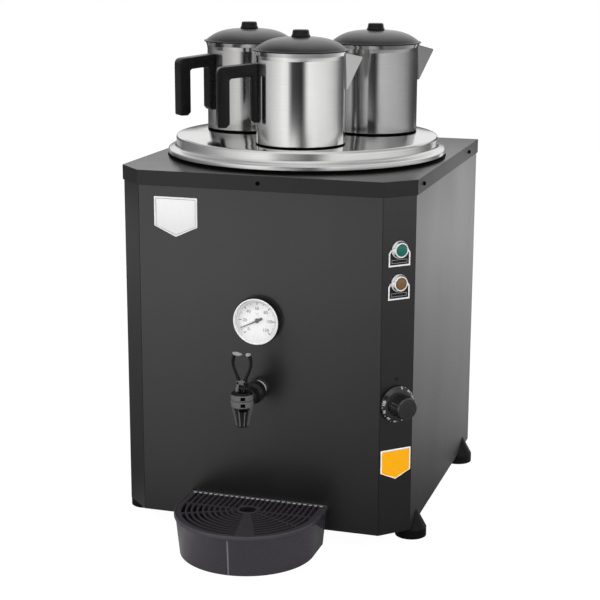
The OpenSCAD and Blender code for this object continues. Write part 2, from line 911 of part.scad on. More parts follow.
module gauge_stem() {
    inside = -front_y - tank_r;
    color("silver") in_place() on_front(0, gauge_z) {
        translate([0, 0, -inside - shank_end]) cylinder(r = shank_r, h = inside + shank_end + case_back);
        translate([0, 0, -inside - shank_end - probe_len]) cylinder(r = probe_r, h = probe_len + 1, $fn = 48);
    }
}

// ---- tap ----

module at_tap() translate([0, tap_y, 0]) children();

module tap_body() {
    inside = -tap_y - tank_r + shank_end;
    collar_at = tap_reach - tap_collar_len - seat_gap;
    arm_at = tap_collar_r + arm_step;
    color([0.07, 0.07, 0.07]) in_place() at_tap() difference() {
        union() {
            translate([0, 0, outlet_z])
                cylinder(r1 = outlet_r + spout_wall, r2 = spout_top_r, h = tap_low_bottom - outlet_z);
            translate([0, 0, tap_low_bottom]) cylinder(r = tap_collar_r, h = tap_low_top - tap_low_bottom);
            translate([0, 0, tap_low_top]) cylinder(r = neck_r, h = neck_top - tap_low_top);
            intersection() {
                translate([0, 0, tap_z]) rotate([-90, 0, 0]) cylinder(r = arm_r, h = collar_at);
                translate([-arm_r, 0, tap_low_bottom - arm_r])
                    cube([2 * arm_r, collar_at, tap_low_top + arm_r - tap_low_bottom - 0.1]);
            }
            translate([0, arm_at, tap_z]) rotate([-90, 0, 0]) cylinder(r = arm_r, h = collar_at - arm_at);
            translate([0, arm_at, tap_z]) rotate([-90, 0, 0]) cylinder(r = shank_r, h = inside - arm_at);
        }
        translate([0, 0, tap_z]) rotate([-90, 0, 0]) cylinder(r = shank_bore_r, h = inside + eps);
        translate([0, 0, seat_z]) cylinder(r = chamber_r, h = neck_top - seat_z + eps);
        translate([0, 0, outlet_z - eps]) cylinder(r = seat_r, h = tap_z - outlet_z);
        translate([0, 0, outlet_z - eps]) cylinder(r = outlet_r, h = outlet_depth + eps);
    }
}

module tap_bonnet() {
    color([0.09, 0.09, 0.09]) in_place() at_tap() difference() {
        translate([0, 0, bonnet_bottom]) cylinder(r = tap_collar_r, h = bonnet_top - bonnet_bottom);
        translate([0, 0, bonnet_bottom - eps])
            cylinder(r = neck_r + thread_gap, h = ceiling_z - bonnet_bottom + eps);
        translate([0, 0, ceiling_z - eps]) cylinder(r = stem_r + pin_gap, h = bonnet_t + 2 * eps, $fn = 48);
    }
}

module valve_stem() {
    low = seat_z + seat_gap + cup_floor + 0.1;
    color([0.15, 0.15, 0.15]) in_place() at_tap() difference() {
        union() {
            // the round part ends below the lever's cheeks
            translate([0, 0, low]) cylinder(r = stem_r, h = pin_z - cam_r - seat_gap - low, $fn = 48);
            translate([-stem_head_w / 2, 0, pin_z]) rotate([0, 90, 0])
                cylinder(r = stem_head_half, h = stem_head_w, $fn = 48);
            intersection() {
                translate([0, 0, low]) cylinder(r = stem_r, h = pin_z - low, $fn = 48);
                translate([-stem_head_w / 2, -stem_r, low]) cube([stem_head_w, 2 * stem_r, pin_z - low]);
            }
        }
        translate([-stem_head_w, 0, pin_z]) rotate([0, 90, 0])
            cylinder(r = pin_r + pin_gap, h = 2 * stem_head_w, $fn = 48);
    }
}

module seat_cup() {
    color("lightgray") in_place() at_tap() translate([0, 0, seat_z + seat_gap]) difference() {
        cylinder(r = cup_r, h = cup_h);
        translate([0, 0, cup_floor]) cylinder(r = stem_r + thread_gap, h = cup_h);
    }
}

// A coil of round wire from z = 0 up to h, measured between the wire's outer faces
module coil(r, wire, turns, h) {
    steps = 20 * turns;
    rings = [for (i = [0 : steps]) let (a = 360 * turns * i / steps, z = wire + (h - 2 * wire) * i / steps)
        [for (j = [0 : spring_sides - 1]) let (b = 360 * j / spring_sides, q = r + wire * cos(b))
            [q * cos(a), q * sin(a), z + wire * sin(b)]]];
    points = [for (ring = rings) for (p = ring) p];
    sides = [for (i = [0 : steps - 1]) for (j = [0 : spring_sides - 1]) let (k = (j + 1) % spring_sides)
        [i * spring_sides + j, (i + 1) * spring_sides + j, (i + 1) * spring_sides + k, i * spring_sides + k]];
    ends = [[for (j = [0 : spring_sides - 1]) j],
            [for (j = [spring_sides - 1 : -1 : 0]) steps * spring_sides + j]];
    polyhedron(points, concat(sides, ends));
}

module tap_spring() {
    low = seat_z + seat_gap + cup_h;
    color("silver") in_place() at_tap() translate([0, 0, low + 0.1])
        coil(spring_r, spring_wire, spring_turns, ceiling_z - low - 0.2);
}

module cam_shape() {
    circle(r = cam_r);
    translate([-cam_shift, 0]) circle(r = cam_r);
    translate([-cam_shift, -cam_r]) square([cam_shift, 2 * cam_r]);
}

// Local X is the tap's Y and local Y is up, seen along the pin
module beside_pin(x) translate([x, 0, 0]) rotate([90, 0, 90]) children();

module tap_lever() {
    horn_c = horn_spread - horn_bend;
    low_a = asin((web_top - 1.5 - horn_mid) / horn_bend);
    tip_a = asin(horn_tip / horn_bend);
    color([0.06, 0.06, 0.06]) in_place() at_tap() translate([0, 0, pin_z]) difference() {
        union() {
            for (side = [-1, 1]) {
                beside_pin(side > 0 ? cheek_in : -cheek_out) linear_extrude(cheek_out - cheek_in) {
                    cam_shape();
                    translate([-cam_r, 0]) square([2 * cam_r, web_top]);
                }
                mirror([side > 0 ? 0 : 1, 0, 0]) translate([horn_c, 0, horn_mid]) rotate([90, 0, 0])
                    rotate(low_a) rotate_extrude(angle = tip_a - low_a)
                        translate([horn_bend, 0]) circle(r = horn_r, $fn = 32);
                translate([side * (horn_c + horn_bend * cos(tip_a)), 0, horn_mid + horn_tip])
                    sphere(r = horn_r + 0.5, $fn = 32);
            }
            translate([-cheek_out, -cam_r, web_low]) cube([2 * cheek_out, 2 * cam_r, web_top - web_low]);
        }
        translate([-2 * cheek_out, 0, 0]) rotate([0, 90, 0])
            cylinder(r = pin_r + pin_gap, h = 4 * cheek_out, $fn = 48);
    }
}

module lever_pin() {
    color("silver") in_place() at_tap() translate([-pin_half, 0, pin_z]) rotate([0, 90, 0])
        cylinder(r = pin_r, h = 2 * pin_half, $fn = 48);
}

module tap_collar() {
    color("lightgray") in_place() on_front(0, tap_z) difference() {
        cylinder(r = arm_r - 0.5, h = tap_collar_len);
        translate([0, 0, -eps]) cylinder(r = shank_r + thread_gap, h = tap_collar_len + 2 * eps);
    }
}

// A nut on the shank or the stem, from local z = 0 outwards
module lock_nut() {
    difference() {
        cylinder(r = nut_r, h = nut_h, $fn = 6);
        translate([0, 0, -eps]) cylinder(r = shank_r + thread_gap, h = nut_h + 2 * eps);
    }
}

module lock_nuts() {
    color("silver") in_place() for (z = [gauge_z, tap_z]) {
        on_front(0, z) translate([0, 0, -sheet - nut_h]) lock_nut();
        translate([0, 0, z]) facing(0) translate([0, 0, boss_face + gasket_t]) lock_nut();
    }
}

module tank_gaskets() {
    color([0.1, 0.1, 0.1]) in_place() {
        at_bosses() translate([0, 0, boss_face]) tube(boss_r, shank_r + thread_gap, gasket_t);
        difference() {
            translate([0, 0, element_flange_top]) tube(element_flange_r, element_hole_r, gasket_t);
            at_studs() translate([0, 0, element_flange_top - eps])
                cylinder(r = stud_r + thread_gap, h = gasket_t + 2 * eps, $fn = 32);
        }
    }
}

// ---- inside the base ----

module safety_limiter() {
    color([0.25, 0.25, 0.25]) in_place() translate([limiter_x, limiter_y, tank_floor - limiter_h])
        cylinder(r = limiter_r, h = limiter_h);
}

module terminal_block() {
    color("ivory") in_place() translate([block_x - block_w / 2, block_y - block_d / 2, base_z + base_t])
        difference() {
            cube([block_w, block_d, block_h]);
            for (i = [0 : 2]) translate([(i + 0.5) * block_w / 3, block_d / 2, block_h - terminal_depth])
                cylinder(r = terminal_r, h = terminal_depth + eps, $fn = 32);
        }
}

module cable_gland() {
    color([0.1, 0.1, 0.1]) in_place() translate([gland_x, back_y, gland_z]) facing(180) {
        difference() {
            union() {
                cylinder(r = gland_hex_r, h = gland_out / 2, $fn = 6);
                translate([0, 0, gland_out / 2])
                    cylinder(r1 = gland_hex_r - 2, r2 = gland_r - 1, h = gland_out / 2);
                translate([0, 0, -gland_len]) cylinder(r = gland_r, h = gland_len + eps);
            }
            translate([0, 0, -gland_len - eps]) cylinder(r = gland_bore_r, h = 2 * gland_len, $fn = 48);
        }
        // lock nut inside the back panel
        translate([0, 0, -sheet - gland_nut_h]) difference() {
            cylinder(r = gland_hex_r, h = gland_nut_h, $fn = 6);
            translate([0, 0, -eps]) cylinder(r = gland_r + thread_gap, h = gland_nut_h + 2 * eps);
        }
    }
}

// Leads from the terminal block to the element, the limiter, the thermostat and the lamps
module wiring() {
    block_top = base_z + base_t + block_h;
    tail_z = element_flange_top - element_flange_t - tail_len;
    low_z = base_z + lead_low;
    stat_x = corner_x - lead_back / sqrt(2);
    stat_y = corner_y + lead_back / sqrt(2);
    stat_z = knob_z - thermostat_w / 2;
    post = function (i, z) [block_x + (i - 1) * block_w / 3, block_y, z];
    color("firebrick") in_place() {
        bent_rod([post(0, block_top - terminal_depth), post(0, low_z), [-element_leg_x, 0, low_z],
                  [-element_leg_x, 0, tail_z]], lead_r);
        bent_rod([post(1, block_top - terminal_depth), post(1, low_z + lead_step),
                  [stat_x, stat_y, low_z + lead_step], [stat_x, stat_y, stat_z]], lead_r);
        bent_rod([[element_leg_x, 0, tail_z], [element_leg_x, 0, low_z + 2.5 * lead_step],
                  [limiter_x, limiter_y, low_z + 2.5 * lead_step],
                  [limiter_x, limiter_y, tank_floor - limiter_h]], lead_r);
    }
}

// ---- drip tray ----

// D-shaped outline: straight sides from y = -back, then a half circle
module d_shape(r, back) intersection() {
    union() {
        translate([0, -tray_straight]) circle(r = r);
        translate([-r, -tray_straight]) square([2 * r, tray_straight]);
    }
    translate([-2 * r, -tray_straight - 2 * r]) square([4 * r, 2 * r + tray_straight - back]);
}

// The front half is a cone and the straight part a trapezium, so the walls lean evenly
module d_taper(r_low, r_high, h, back) intersection() {
    union() {
        translate([0, -tray_straight, 0]) cylinder(r1 = r_low, r2 = r_high, h = h);
        rotate([90, 0, 0]) linear_extrude(tray_straight)
            polygon([[-r_low, 0], [r_low, 0], [r_high, h], [-r_high, h]]);
    }
    translate([-2 * r_high, -tray_straight - 2 * r_high, -eps])
        cube([4 * r_high, 2 * r_high + tray_straight - back, h + 2 * eps]);
}

module at_tray() translate([0, front_y, 0]) children();

module drip_tray() {
    wall_r = tray_r - tray_lip;
    in_low = wall_r - tray_taper - tray_wall;
    in_high = grille_r + grille_gap - ledge_w;
    inner = tray_wall + seat_gap;
    color([0.1, 0.09, 0.1]) in_place() at_tray() difference() {
        union() {
            d_taper(wall_r - tray_taper, wall_r, tray_h, seat_gap);
            translate([0, 0, tray_h - tray_lip_h]) linear_extrude(tray_lip_h) d_shape(tray_r, seat_gap);
        }
        translate([0, 0, tray_floor_t]) d_taper(in_low, in_high, tray_h, inner);
        translate([0, 0, grille_top - grille_t]) linear_extrude(tray_h) d_shape(grille_r + grille_gap, inner);
    }
}

// One curved slot of the grille, between two radii
module slot_shape(r) difference() {
    d_shape(r + slot_w, grille_back + rim_w);
    d_shape(r, -eps);
}

module drip_grille() {
    color([0.08, 0.08, 0.08]) in_place() at_tray() translate([0, 0, grille_top - grille_t])
        linear_extrude(grille_t) difference() {
            d_shape(grille_r, grille_back);
            translate([0, -tray_straight]) circle(r = grille_hole_r);
            // straight slots between the hole and the panel
            for (i = [0 : inner_slots - 1], side = [0, 1]) mirror([side, 0])
                translate([rib_w / 2 + i * (inner_w + rib_w), grille_hole_r + ring_w - tray_straight])
                    square([inner_w, tray_straight - grille_hole_r - ring_w - grille_back - rim_w]);
            difference() {
                for (i = [0 : slot_count - 1]) slot_shape(slot_in + i * slot_pitch);
                // ribs to both sides and aslant, and the plain wedge at the front
                for (a = [-rib_slant, 180 + rib_slant])
                    translate([0, -tray_straight]) rotate(a) translate([0, -rib_w / 2]) square([tray_r, rib_w]);
                translate([0, -tray_straight]) rotate(wedge_turn)
                    polygon([[-wedge_root, 0], [wedge_root, 0], [wedge_half, -tray_r], [-wedge_half, -tray_r]]);
                translate([-tray_r, -tray_straight - rib_w / 2]) square([2 * tray_r, rib_w]);
            }
        }
}

// ---- lid ----

module lid_profile() {
    t = tank_wall;
    r = lid_disc_r;
    f = lid_flange_r;
    polygon([[0, lid_top - t], [0, lid_top], [r, lid_top], [r + 1.5, lid_top - 1], [r + 2, lid_top - 2.6],
             [r + 2, lid_flange_z + 6], [r + 2.8, lid_flange_z + 4], [r + 5, lid_flange_z + 2.6],
             [f - 1, lid_flange_z + 1], [f, lid_flange_z], [f, lid_lip_z], [f - t, lid_lip_z],
             [f - t, lid_flange_z - 0.5], [r + 4.5, lid_flange_z + 1.2], [r + 1.6, lid_flange_z + 3.2],
             [r + 2 - t, lid_flange_z + 5.6], [r + 2 - t, lid_top - 3], [r - 1, lid_top - t]]);
}

module at_pots() for (a = pot_at) rotate(a) translate([pot_ring_r, 0, 0]) children();

module urn_lid() {
    color("silver") in_place() difference() {
        union() {
            rotate_extrude($fn = 180) lid_profile();
            at_pots() translate([0, 0, lid_top - steam_collar_h])
                cylinder(r = steam_r + tank_wall, h = steam_collar_h);
        }
        at_pots() translate([0, 0, lid_top - steam_collar_h - eps])
            cylinder(r = steam_r, h = steam_collar_h + 2 * eps);
    }
}

// ---- teapots ----

// The pot's own frame: z = 0 under its base, the spout along +X
module at_pot(i) in_place() rotate(pot_at[i]) translate([pot_ring_r, 0, pot_rest_z])
    rotate(spout_at[i] - pot_at[i]) children();

module pot_profile(set_in, base) {
    r = pot_r - set_in;
    polygon([[0, base], [r - 3, base], [r - 0.8, base + 0.8], [r, base + 3], [r, pot_h - 9],
             [r + 0.8, pot_h - 5], [r + pot_flare, pot_h], [0, pot_h]]);
}

// Upright wedge of the spout, set in by its wall
module spout_solid(set_in) {
    tip = spout_reach - 2 * set_in;
    root = pot_r - 4;
    low = spout_low + 3 * set_in;
    half = spout_half_w - 1.2 * set_in;
    intersection() {
        translate([0, pot_r, 0]) rotate([90, 0, 0]) linear_extrude(2 * pot_r)
            polygon([[root, low], [pot_r, low], [tip, spout_tip_z - 2], [tip, spout_tip_z + 12 * set_in],
                     [pot_r, spout_top + 12 * set_in], [root, spout_top + 12 * set_in]]);
        linear_extrude(2 * pot_h)
            polygon([[root, -half - 3], [tip, -1], [tip, 1], [root, half + 3]]);
    }
}

module pot_body() {
    color("silver") difference() {
        union() {
            rotate_extrude() pot_profile(0, 0);
            spout_solid(0);
        }
        translate([0, 0, 0.01]) rotate_extrude() polygon([[0, pot_wall], [pot_r - pot_wall - 3, pot_wall],
            [pot_r - pot_wall, pot_wall + 3], [pot_r - pot_wall, pot_h - 9], [pot_r - pot_wall + 0.8, pot_h - 5],
            [pot_r - pot_wall + pot_flare, pot_h], [0, pot_h]]);
        spout_solid(pot_wall);
    }
}

// Handle seen from the side: local X runs out from the pot's axis and local Y is up
module handle_shape() {
    in_r = pot_r + leg_in;
    reach = in_r + finger_gap + leg_out;
    corner = bar_high - bar_fall;
    difference() {
        union() {
            translate([pot_r - 4, leg_in_low]) square([leg_in + 4, bar_high - leg_in_low]);
            polygon([[pot_r, bar_low], [reach - handle_round, bar_low - bar_fall],
                     [reach - handle_round, corner], [pot_r, bar_high]]);
            translate([in_r + finger_gap, leg_out_low]) square([leg_out, corner - handle_round - leg_out_low]);
            translate([reach - handle_round, corner - handle_round]) circle(r = handle_round);
        }
        // the lower inside corner of each leg is cut off
        translate([in_r + finger_gap, leg_out_low]) rotate(45) square([5, 10], center = true);
        translate([in_r + 1, leg_in_low]) rotate(45) square([5, 8], center = true);
    }
}

module pot_handle() {
    color([0.07, 0.07, 0.07]) difference() {
        rotate([90, 0, 180]) translate([0, 0, -handle_t / 2]) linear_extrude(handle_t) handle_shape();
        cylinder(r = pot_r + thread_gap, h = 2 * pot_h, center = true);
    }
}

// Radius of the sphere that the dome of a pot's lid is cut from
function dome_sphere() = (pot_lid_r * pot_lid_r + dome_h * dome_h) / (2 * dome_h);

module pot_lid() {
    dome_r = dome_sphere();
    top = pot_lid_z + pot_rim_t + dome_h;
    plug_r = pot_r - pot_wall - plug_gap;
    color([0.35, 0.35, 0.36]) difference() {
        union() {
            intersection() {
                translate([0, 0, top - dome_r]) sphere(r = dome_r, $fn = 120);
                translate([0, 0, pot_lid_z]) cylinder(r = pot_lid_r, h = dome_h + pot_rim_t);
            }
            translate([0, 0, pot_lid_z]) cylinder(r = pot_lid_r, h = pot_rim_t);
            translate([0, 0, pot_lid_z - plug_h]) cylinder(r = plug_r, h = plug_h + 1);
        }
        intersection() {
            translate([0, 0, top - dome_r - pot_wall]) sphere(r = dome_r, $fn = 120);
            translate([0, 0, pot_lid_z - 2 * plug_h])
                cylinder(r = plug_r - pot_wall, h = 2 * plug_h + dome_h + pot_rim_t);
        }
    }
}

module pot_knob() {
    top = pot_lid_z + pot_rim_t + dome_h;
    // the knob's foot starts just inside the dome
    dip = top - 2 * seat_gap;
    color([0.06, 0.06, 0.06]) translate([0, 0, dip]) difference() {
        union() {
            cylinder(r1 = knob_base_r - 1, r2 = knob_base_r, h = knob_foot_h);
            translate([0, 0, knob_foot_h])
                cylinder(r1 = knob_base_r, r2 = knob_top_r, h = pot_knob_h - knob_foot_h - knob_edge_h);
            translate([0, 0, pot_knob_h - knob_edge_h])
                cylinder(r1 = knob_top_r, r2 = knob_top_r - 2 * knob_edge_h, h = knob_edge_h);
        }
        // the underside follows the dome
        translate([0, 0, top - dip - dome_sphere()]) sphere(r = dome_sphere(), $fn = 120);
    }
}

module front_pot_body() at_pot(0) pot_body();
module front_pot_handle() at_pot(0) pot_handle();
module front_pot_lid() at_pot(0) pot_lid();
module front_pot_knob() at_pot(0) pot_knob();
module right_pot_body() at_pot(1) pot_body();
module right_pot_handle() at_pot(1) pot_handle();
module right_pot_lid() at_pot(1) pot_lid();
module right_pot_knob() at_pot(1) pot_knob();
module left_pot_body() at_pot(2) pot_body();
module left_pot_handle() at_pot(2) pot_handle();
module left_pot_lid() at_pot(2) pot_lid();
module left_pot_knob() at_pot(2) pot_knob();

base_plate();
rubber_feet();
foot_screws();
left_side_panel();
right_side_panel();
front_panel();
back_panel();
cabinet_screws();
top_cap();
water_tank();
tank_insulation();
tank_seal();
heating_element();
element_nuts();
thermowell();
thermostat_body();
thermostat_bulb();
thermostat_knob();
safety_limiter();
terminal_block();
cable_gland();
wiring();
lamp_bezels();
green_lens();
amber_lens();
lamp_bodies();
lamp_plates();
pointer_dot();
gauge_case();
gauge_dial();
gauge_glass();
gauge_needle();
gauge_stem();
tap_body();
tap_bonnet();
valve_stem();
seat_cup();
tap_spring();
tap_lever();
lever_pin();
tap_collar();
lock_nuts();
tank_gaskets();
badge_plate();
side_badge();
drip_tray();
drip_grille();
urn_lid();
front_pot_body();
front_pot_handle();
front_pot_lid();
front_pot_knob();
right_pot_body();
right_pot_handle();
right_pot_lid();
right_pot_knob();
left_pot_body();
left_pot_handle();
left_pot_lid();
left_pot_knob();
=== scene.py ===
import math

import bmesh
import bpy
from mathutils import Matrix, Vector

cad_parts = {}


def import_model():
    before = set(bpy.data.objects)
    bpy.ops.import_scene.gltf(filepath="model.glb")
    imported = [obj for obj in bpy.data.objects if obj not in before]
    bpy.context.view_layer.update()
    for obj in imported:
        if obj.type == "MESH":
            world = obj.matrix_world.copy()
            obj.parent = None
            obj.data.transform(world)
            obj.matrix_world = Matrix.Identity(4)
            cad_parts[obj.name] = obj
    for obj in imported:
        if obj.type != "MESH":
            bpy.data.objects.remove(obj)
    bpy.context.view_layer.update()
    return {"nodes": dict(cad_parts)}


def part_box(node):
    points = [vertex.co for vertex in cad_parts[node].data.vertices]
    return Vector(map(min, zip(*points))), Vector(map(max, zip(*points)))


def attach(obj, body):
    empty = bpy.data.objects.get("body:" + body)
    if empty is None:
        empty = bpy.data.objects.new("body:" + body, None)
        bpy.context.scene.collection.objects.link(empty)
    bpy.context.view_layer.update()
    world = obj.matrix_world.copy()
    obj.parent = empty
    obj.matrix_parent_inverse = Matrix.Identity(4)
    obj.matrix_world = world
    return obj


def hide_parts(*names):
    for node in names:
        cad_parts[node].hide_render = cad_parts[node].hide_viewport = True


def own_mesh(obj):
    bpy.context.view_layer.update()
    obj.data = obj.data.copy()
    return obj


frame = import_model()
NODES = frame["nodes"]
MM = 0.001

# ---------------- sizes in mm
FRONT_Y, MID_Y = -147.8, 65.5  # front panel, centre of the lid
CORNER = (181.048, -130.548)  # middle of the cut corner that has the controls
TAP = (0.0, -212.8)  # axis of the valve
TAP_FACE = 23  # where the tap's front and its painted-shade mouth look, in degrees from -Y towards +X
TAP_Z, PIN_Z, GAUGE_Z, KNOB_Z = 206.5, 225.5, 299.0, 198.0
GREEN_Z, AMBER_Z, CORNER_PLATE_Z = 400.0, 357.0, 137
FRONT_PLATE = (-112, 453.5)
LID_TOP, CAP_TOP, FLANGE_LOW, SEAL_TOP = 514.0, 487.0, 491.2, 491.1
SCREW_Z = CAP_TOP - 9.75
# each pot: x, y and the direction of its spout
POTS = {"front_pot": (21.207, -34.271, 27.0), "right_pot": (79.827, 128.997, 25.0),
        "left_pot": (-95.849, 100.386, 45.0)}
POT_R, POT_H, POT_Z, POT_WALL = 59.0, 121.5, 514.3, 0.9
POT_LID_Z, POT_LID_RIM, POT_LID_DOME = POT_H + 0.3, 1.8, 15.6
# the lever, from its pin: heel, and the horns' foot, rise, distance at the foot and spread
LEVER_HEEL = -8.0
HORN_LOW, HORN_RISE, HORN_ROOT, HORN_SPREAD = 8.6, 34.9, 3.4, 9.6
SPRING_R, SPRING_WIRE, SPRING_TURNS = 5.4, 0.5, 4
DIAL_TOP, NUMERAL_R, NEEDLE_LONG = 4.82, 16.6, 24.9
DIAL_START, DIAL_SPAN, NEEDLE_REST = 225, 270, 116  # degrees: zero and span from local +X, needle from +Y
# the tray: radius of its round front, straight part of its sides, turn of the grille's plain wedge
TRAY_R, STRAIGHT, WEDGE_TURN = 96.0, 45.0, 16


# ---------------- materials
def new_mat(name):
    m = bpy.data.materials.new(name)
    m.use_nodes = True
    nt = m.node_tree
    return m, nt, nt.nodes["Principled BSDF"]


def node(nt, kind, **values):
    n = nt.nodes.new(kind)
    for k, v in values.items():
        if hasattr(n, k):
            setattr(n, k, v)
        else:
            n.inputs[k].default_value = v
    return n


def ramp(nt, source, lo, hi, c0, c1):
    r = nt.nodes.new("ShaderNodeValToRGB")
    first, last = r.color_ramp.elements
    first.position, last.position = lo, hi
    first.color, last.color = (*c0, 1), (*c1, 1)
    nt.links.new(source, r.inputs["Fac"])
    return r.outputs["Color"]


def triple(v):
    """One number for all three axes or channels, or the three as given."""
    return v if isinstance(v, tuple) else (v, v, v)


def coords(nt, scale, uv=False):
    tc = nt.nodes.new("ShaderNodeTexCoord")
    mp = nt.nodes.new("ShaderNodeMapping")
    mp.inputs["Scale"].default_value = triple(scale)
    nt.links.new(tc.outputs["UV" if uv else "Object"], mp.inputs["Vector"])
    return mp.outputs["Vector"]


def finish_mat(name, color, rough, metal=0.0, grain=1800, strength=0.1, depth=0.0001, vary=0.12,
               rough_vary=0.06, wear=6, uv=False, ior=1.5, aniso=0.0, edge=0.0, spec=0.5, painted_shade_by_height=None):
    """One finish: a grain for bump and tone, a broad cloud of handling marks in the roughness."""
    m, nt, b = new_mat(name)
    color = triple(color)
    b.inputs["Metallic"].default_value = metal
    b.inputs["IOR"].default_value = ior
    b.inputs["Specular IOR Level"].default_value = spec
    fine = node(nt, "ShaderNodeTexNoise", Scale=1.0, Detail=3.0, Roughness=0.6)
    nt.links.new(coords(nt, grain, uv), fine.inputs["Vector"])
    broad = node(nt, "ShaderNodeTexNoise", Scale=1.0, Detail=4.0, Roughness=0.55)
    nt.links.new(coords(nt, wear), broad.inputs["Vector"])
    lo = tuple(c * (1 - vary) for c in color)
    hi = tuple(min(1.0, c * (1 + vary)) for c in color)
    tone = ramp(nt, fine.outputs["Fac"], 0.3, 0.7, lo, hi)
    if painted_shade_by_height:
        # painted shade: darker towards the lower of two local heights in mm
        low, high, share = painted_shade_by_height
        xyz = nt.nodes.new("ShaderNodeSeparateXYZ")
        nt.links.new(coords(nt, 1), xyz.inputs[0])
        rise = ramp(nt, xyz.outputs["Z"], low * MM, high * MM, triple(share), triple(1.0))
        mix = node(nt, "ShaderNodeMix", data_type="RGBA", blend_type="MULTIPLY")
        mix.inputs["Factor"].default_value = 1.0
        nt.links.new(tone, mix.inputs["A"])
        nt.links.new(rise, mix.inputs["B"])
        tone = mix.outputs["Result"]
    nt.links.new(tone, b.inputs["Base Color"])
    span = node(nt, "ShaderNodeMapRange")
    span.inputs["From Min"].default_value = 0.3
    span.inputs["From Max"].default_value = 0.7
    span.inputs["To Min"].default_value = max(0.02, rough - rough_vary)
    span.inputs["To Max"].default_value = min(1.0, rough + rough_vary)
    nt.links.new(broad.outputs["Fac"], span.inputs["Value"])
    nt.links.new(span.outputs["Result"], b.inputs["Roughness"])
    if aniso:
        b.inputs["Anisotropic"].default_value = aniso
        if uv:
            t = nt.nodes.new("ShaderNodeTangent")
            t.direction_type = "UV_MAP"
            t.uv_map = "UVMap"
            nt.links.new(t.outputs["Tangent"], b.inputs["Tangent"])
    bump = node(nt, "ShaderNodeBump", Strength=strength, Distance=depth)
    nt.links.new(fine.outputs["Fac"], bump.inputs["Height"])
    if edge:
        bev = nt.nodes.new("ShaderNodeBevel")
        bev.samples = 4
        bev.inputs["Radius"].default_value = edge * MM
        nt.links.new(bev.outputs["Normal"], bump.inputs["Normal"])
    nt.links.new(bump.outputs["Normal"], b.inputs["Normal"])
    return m


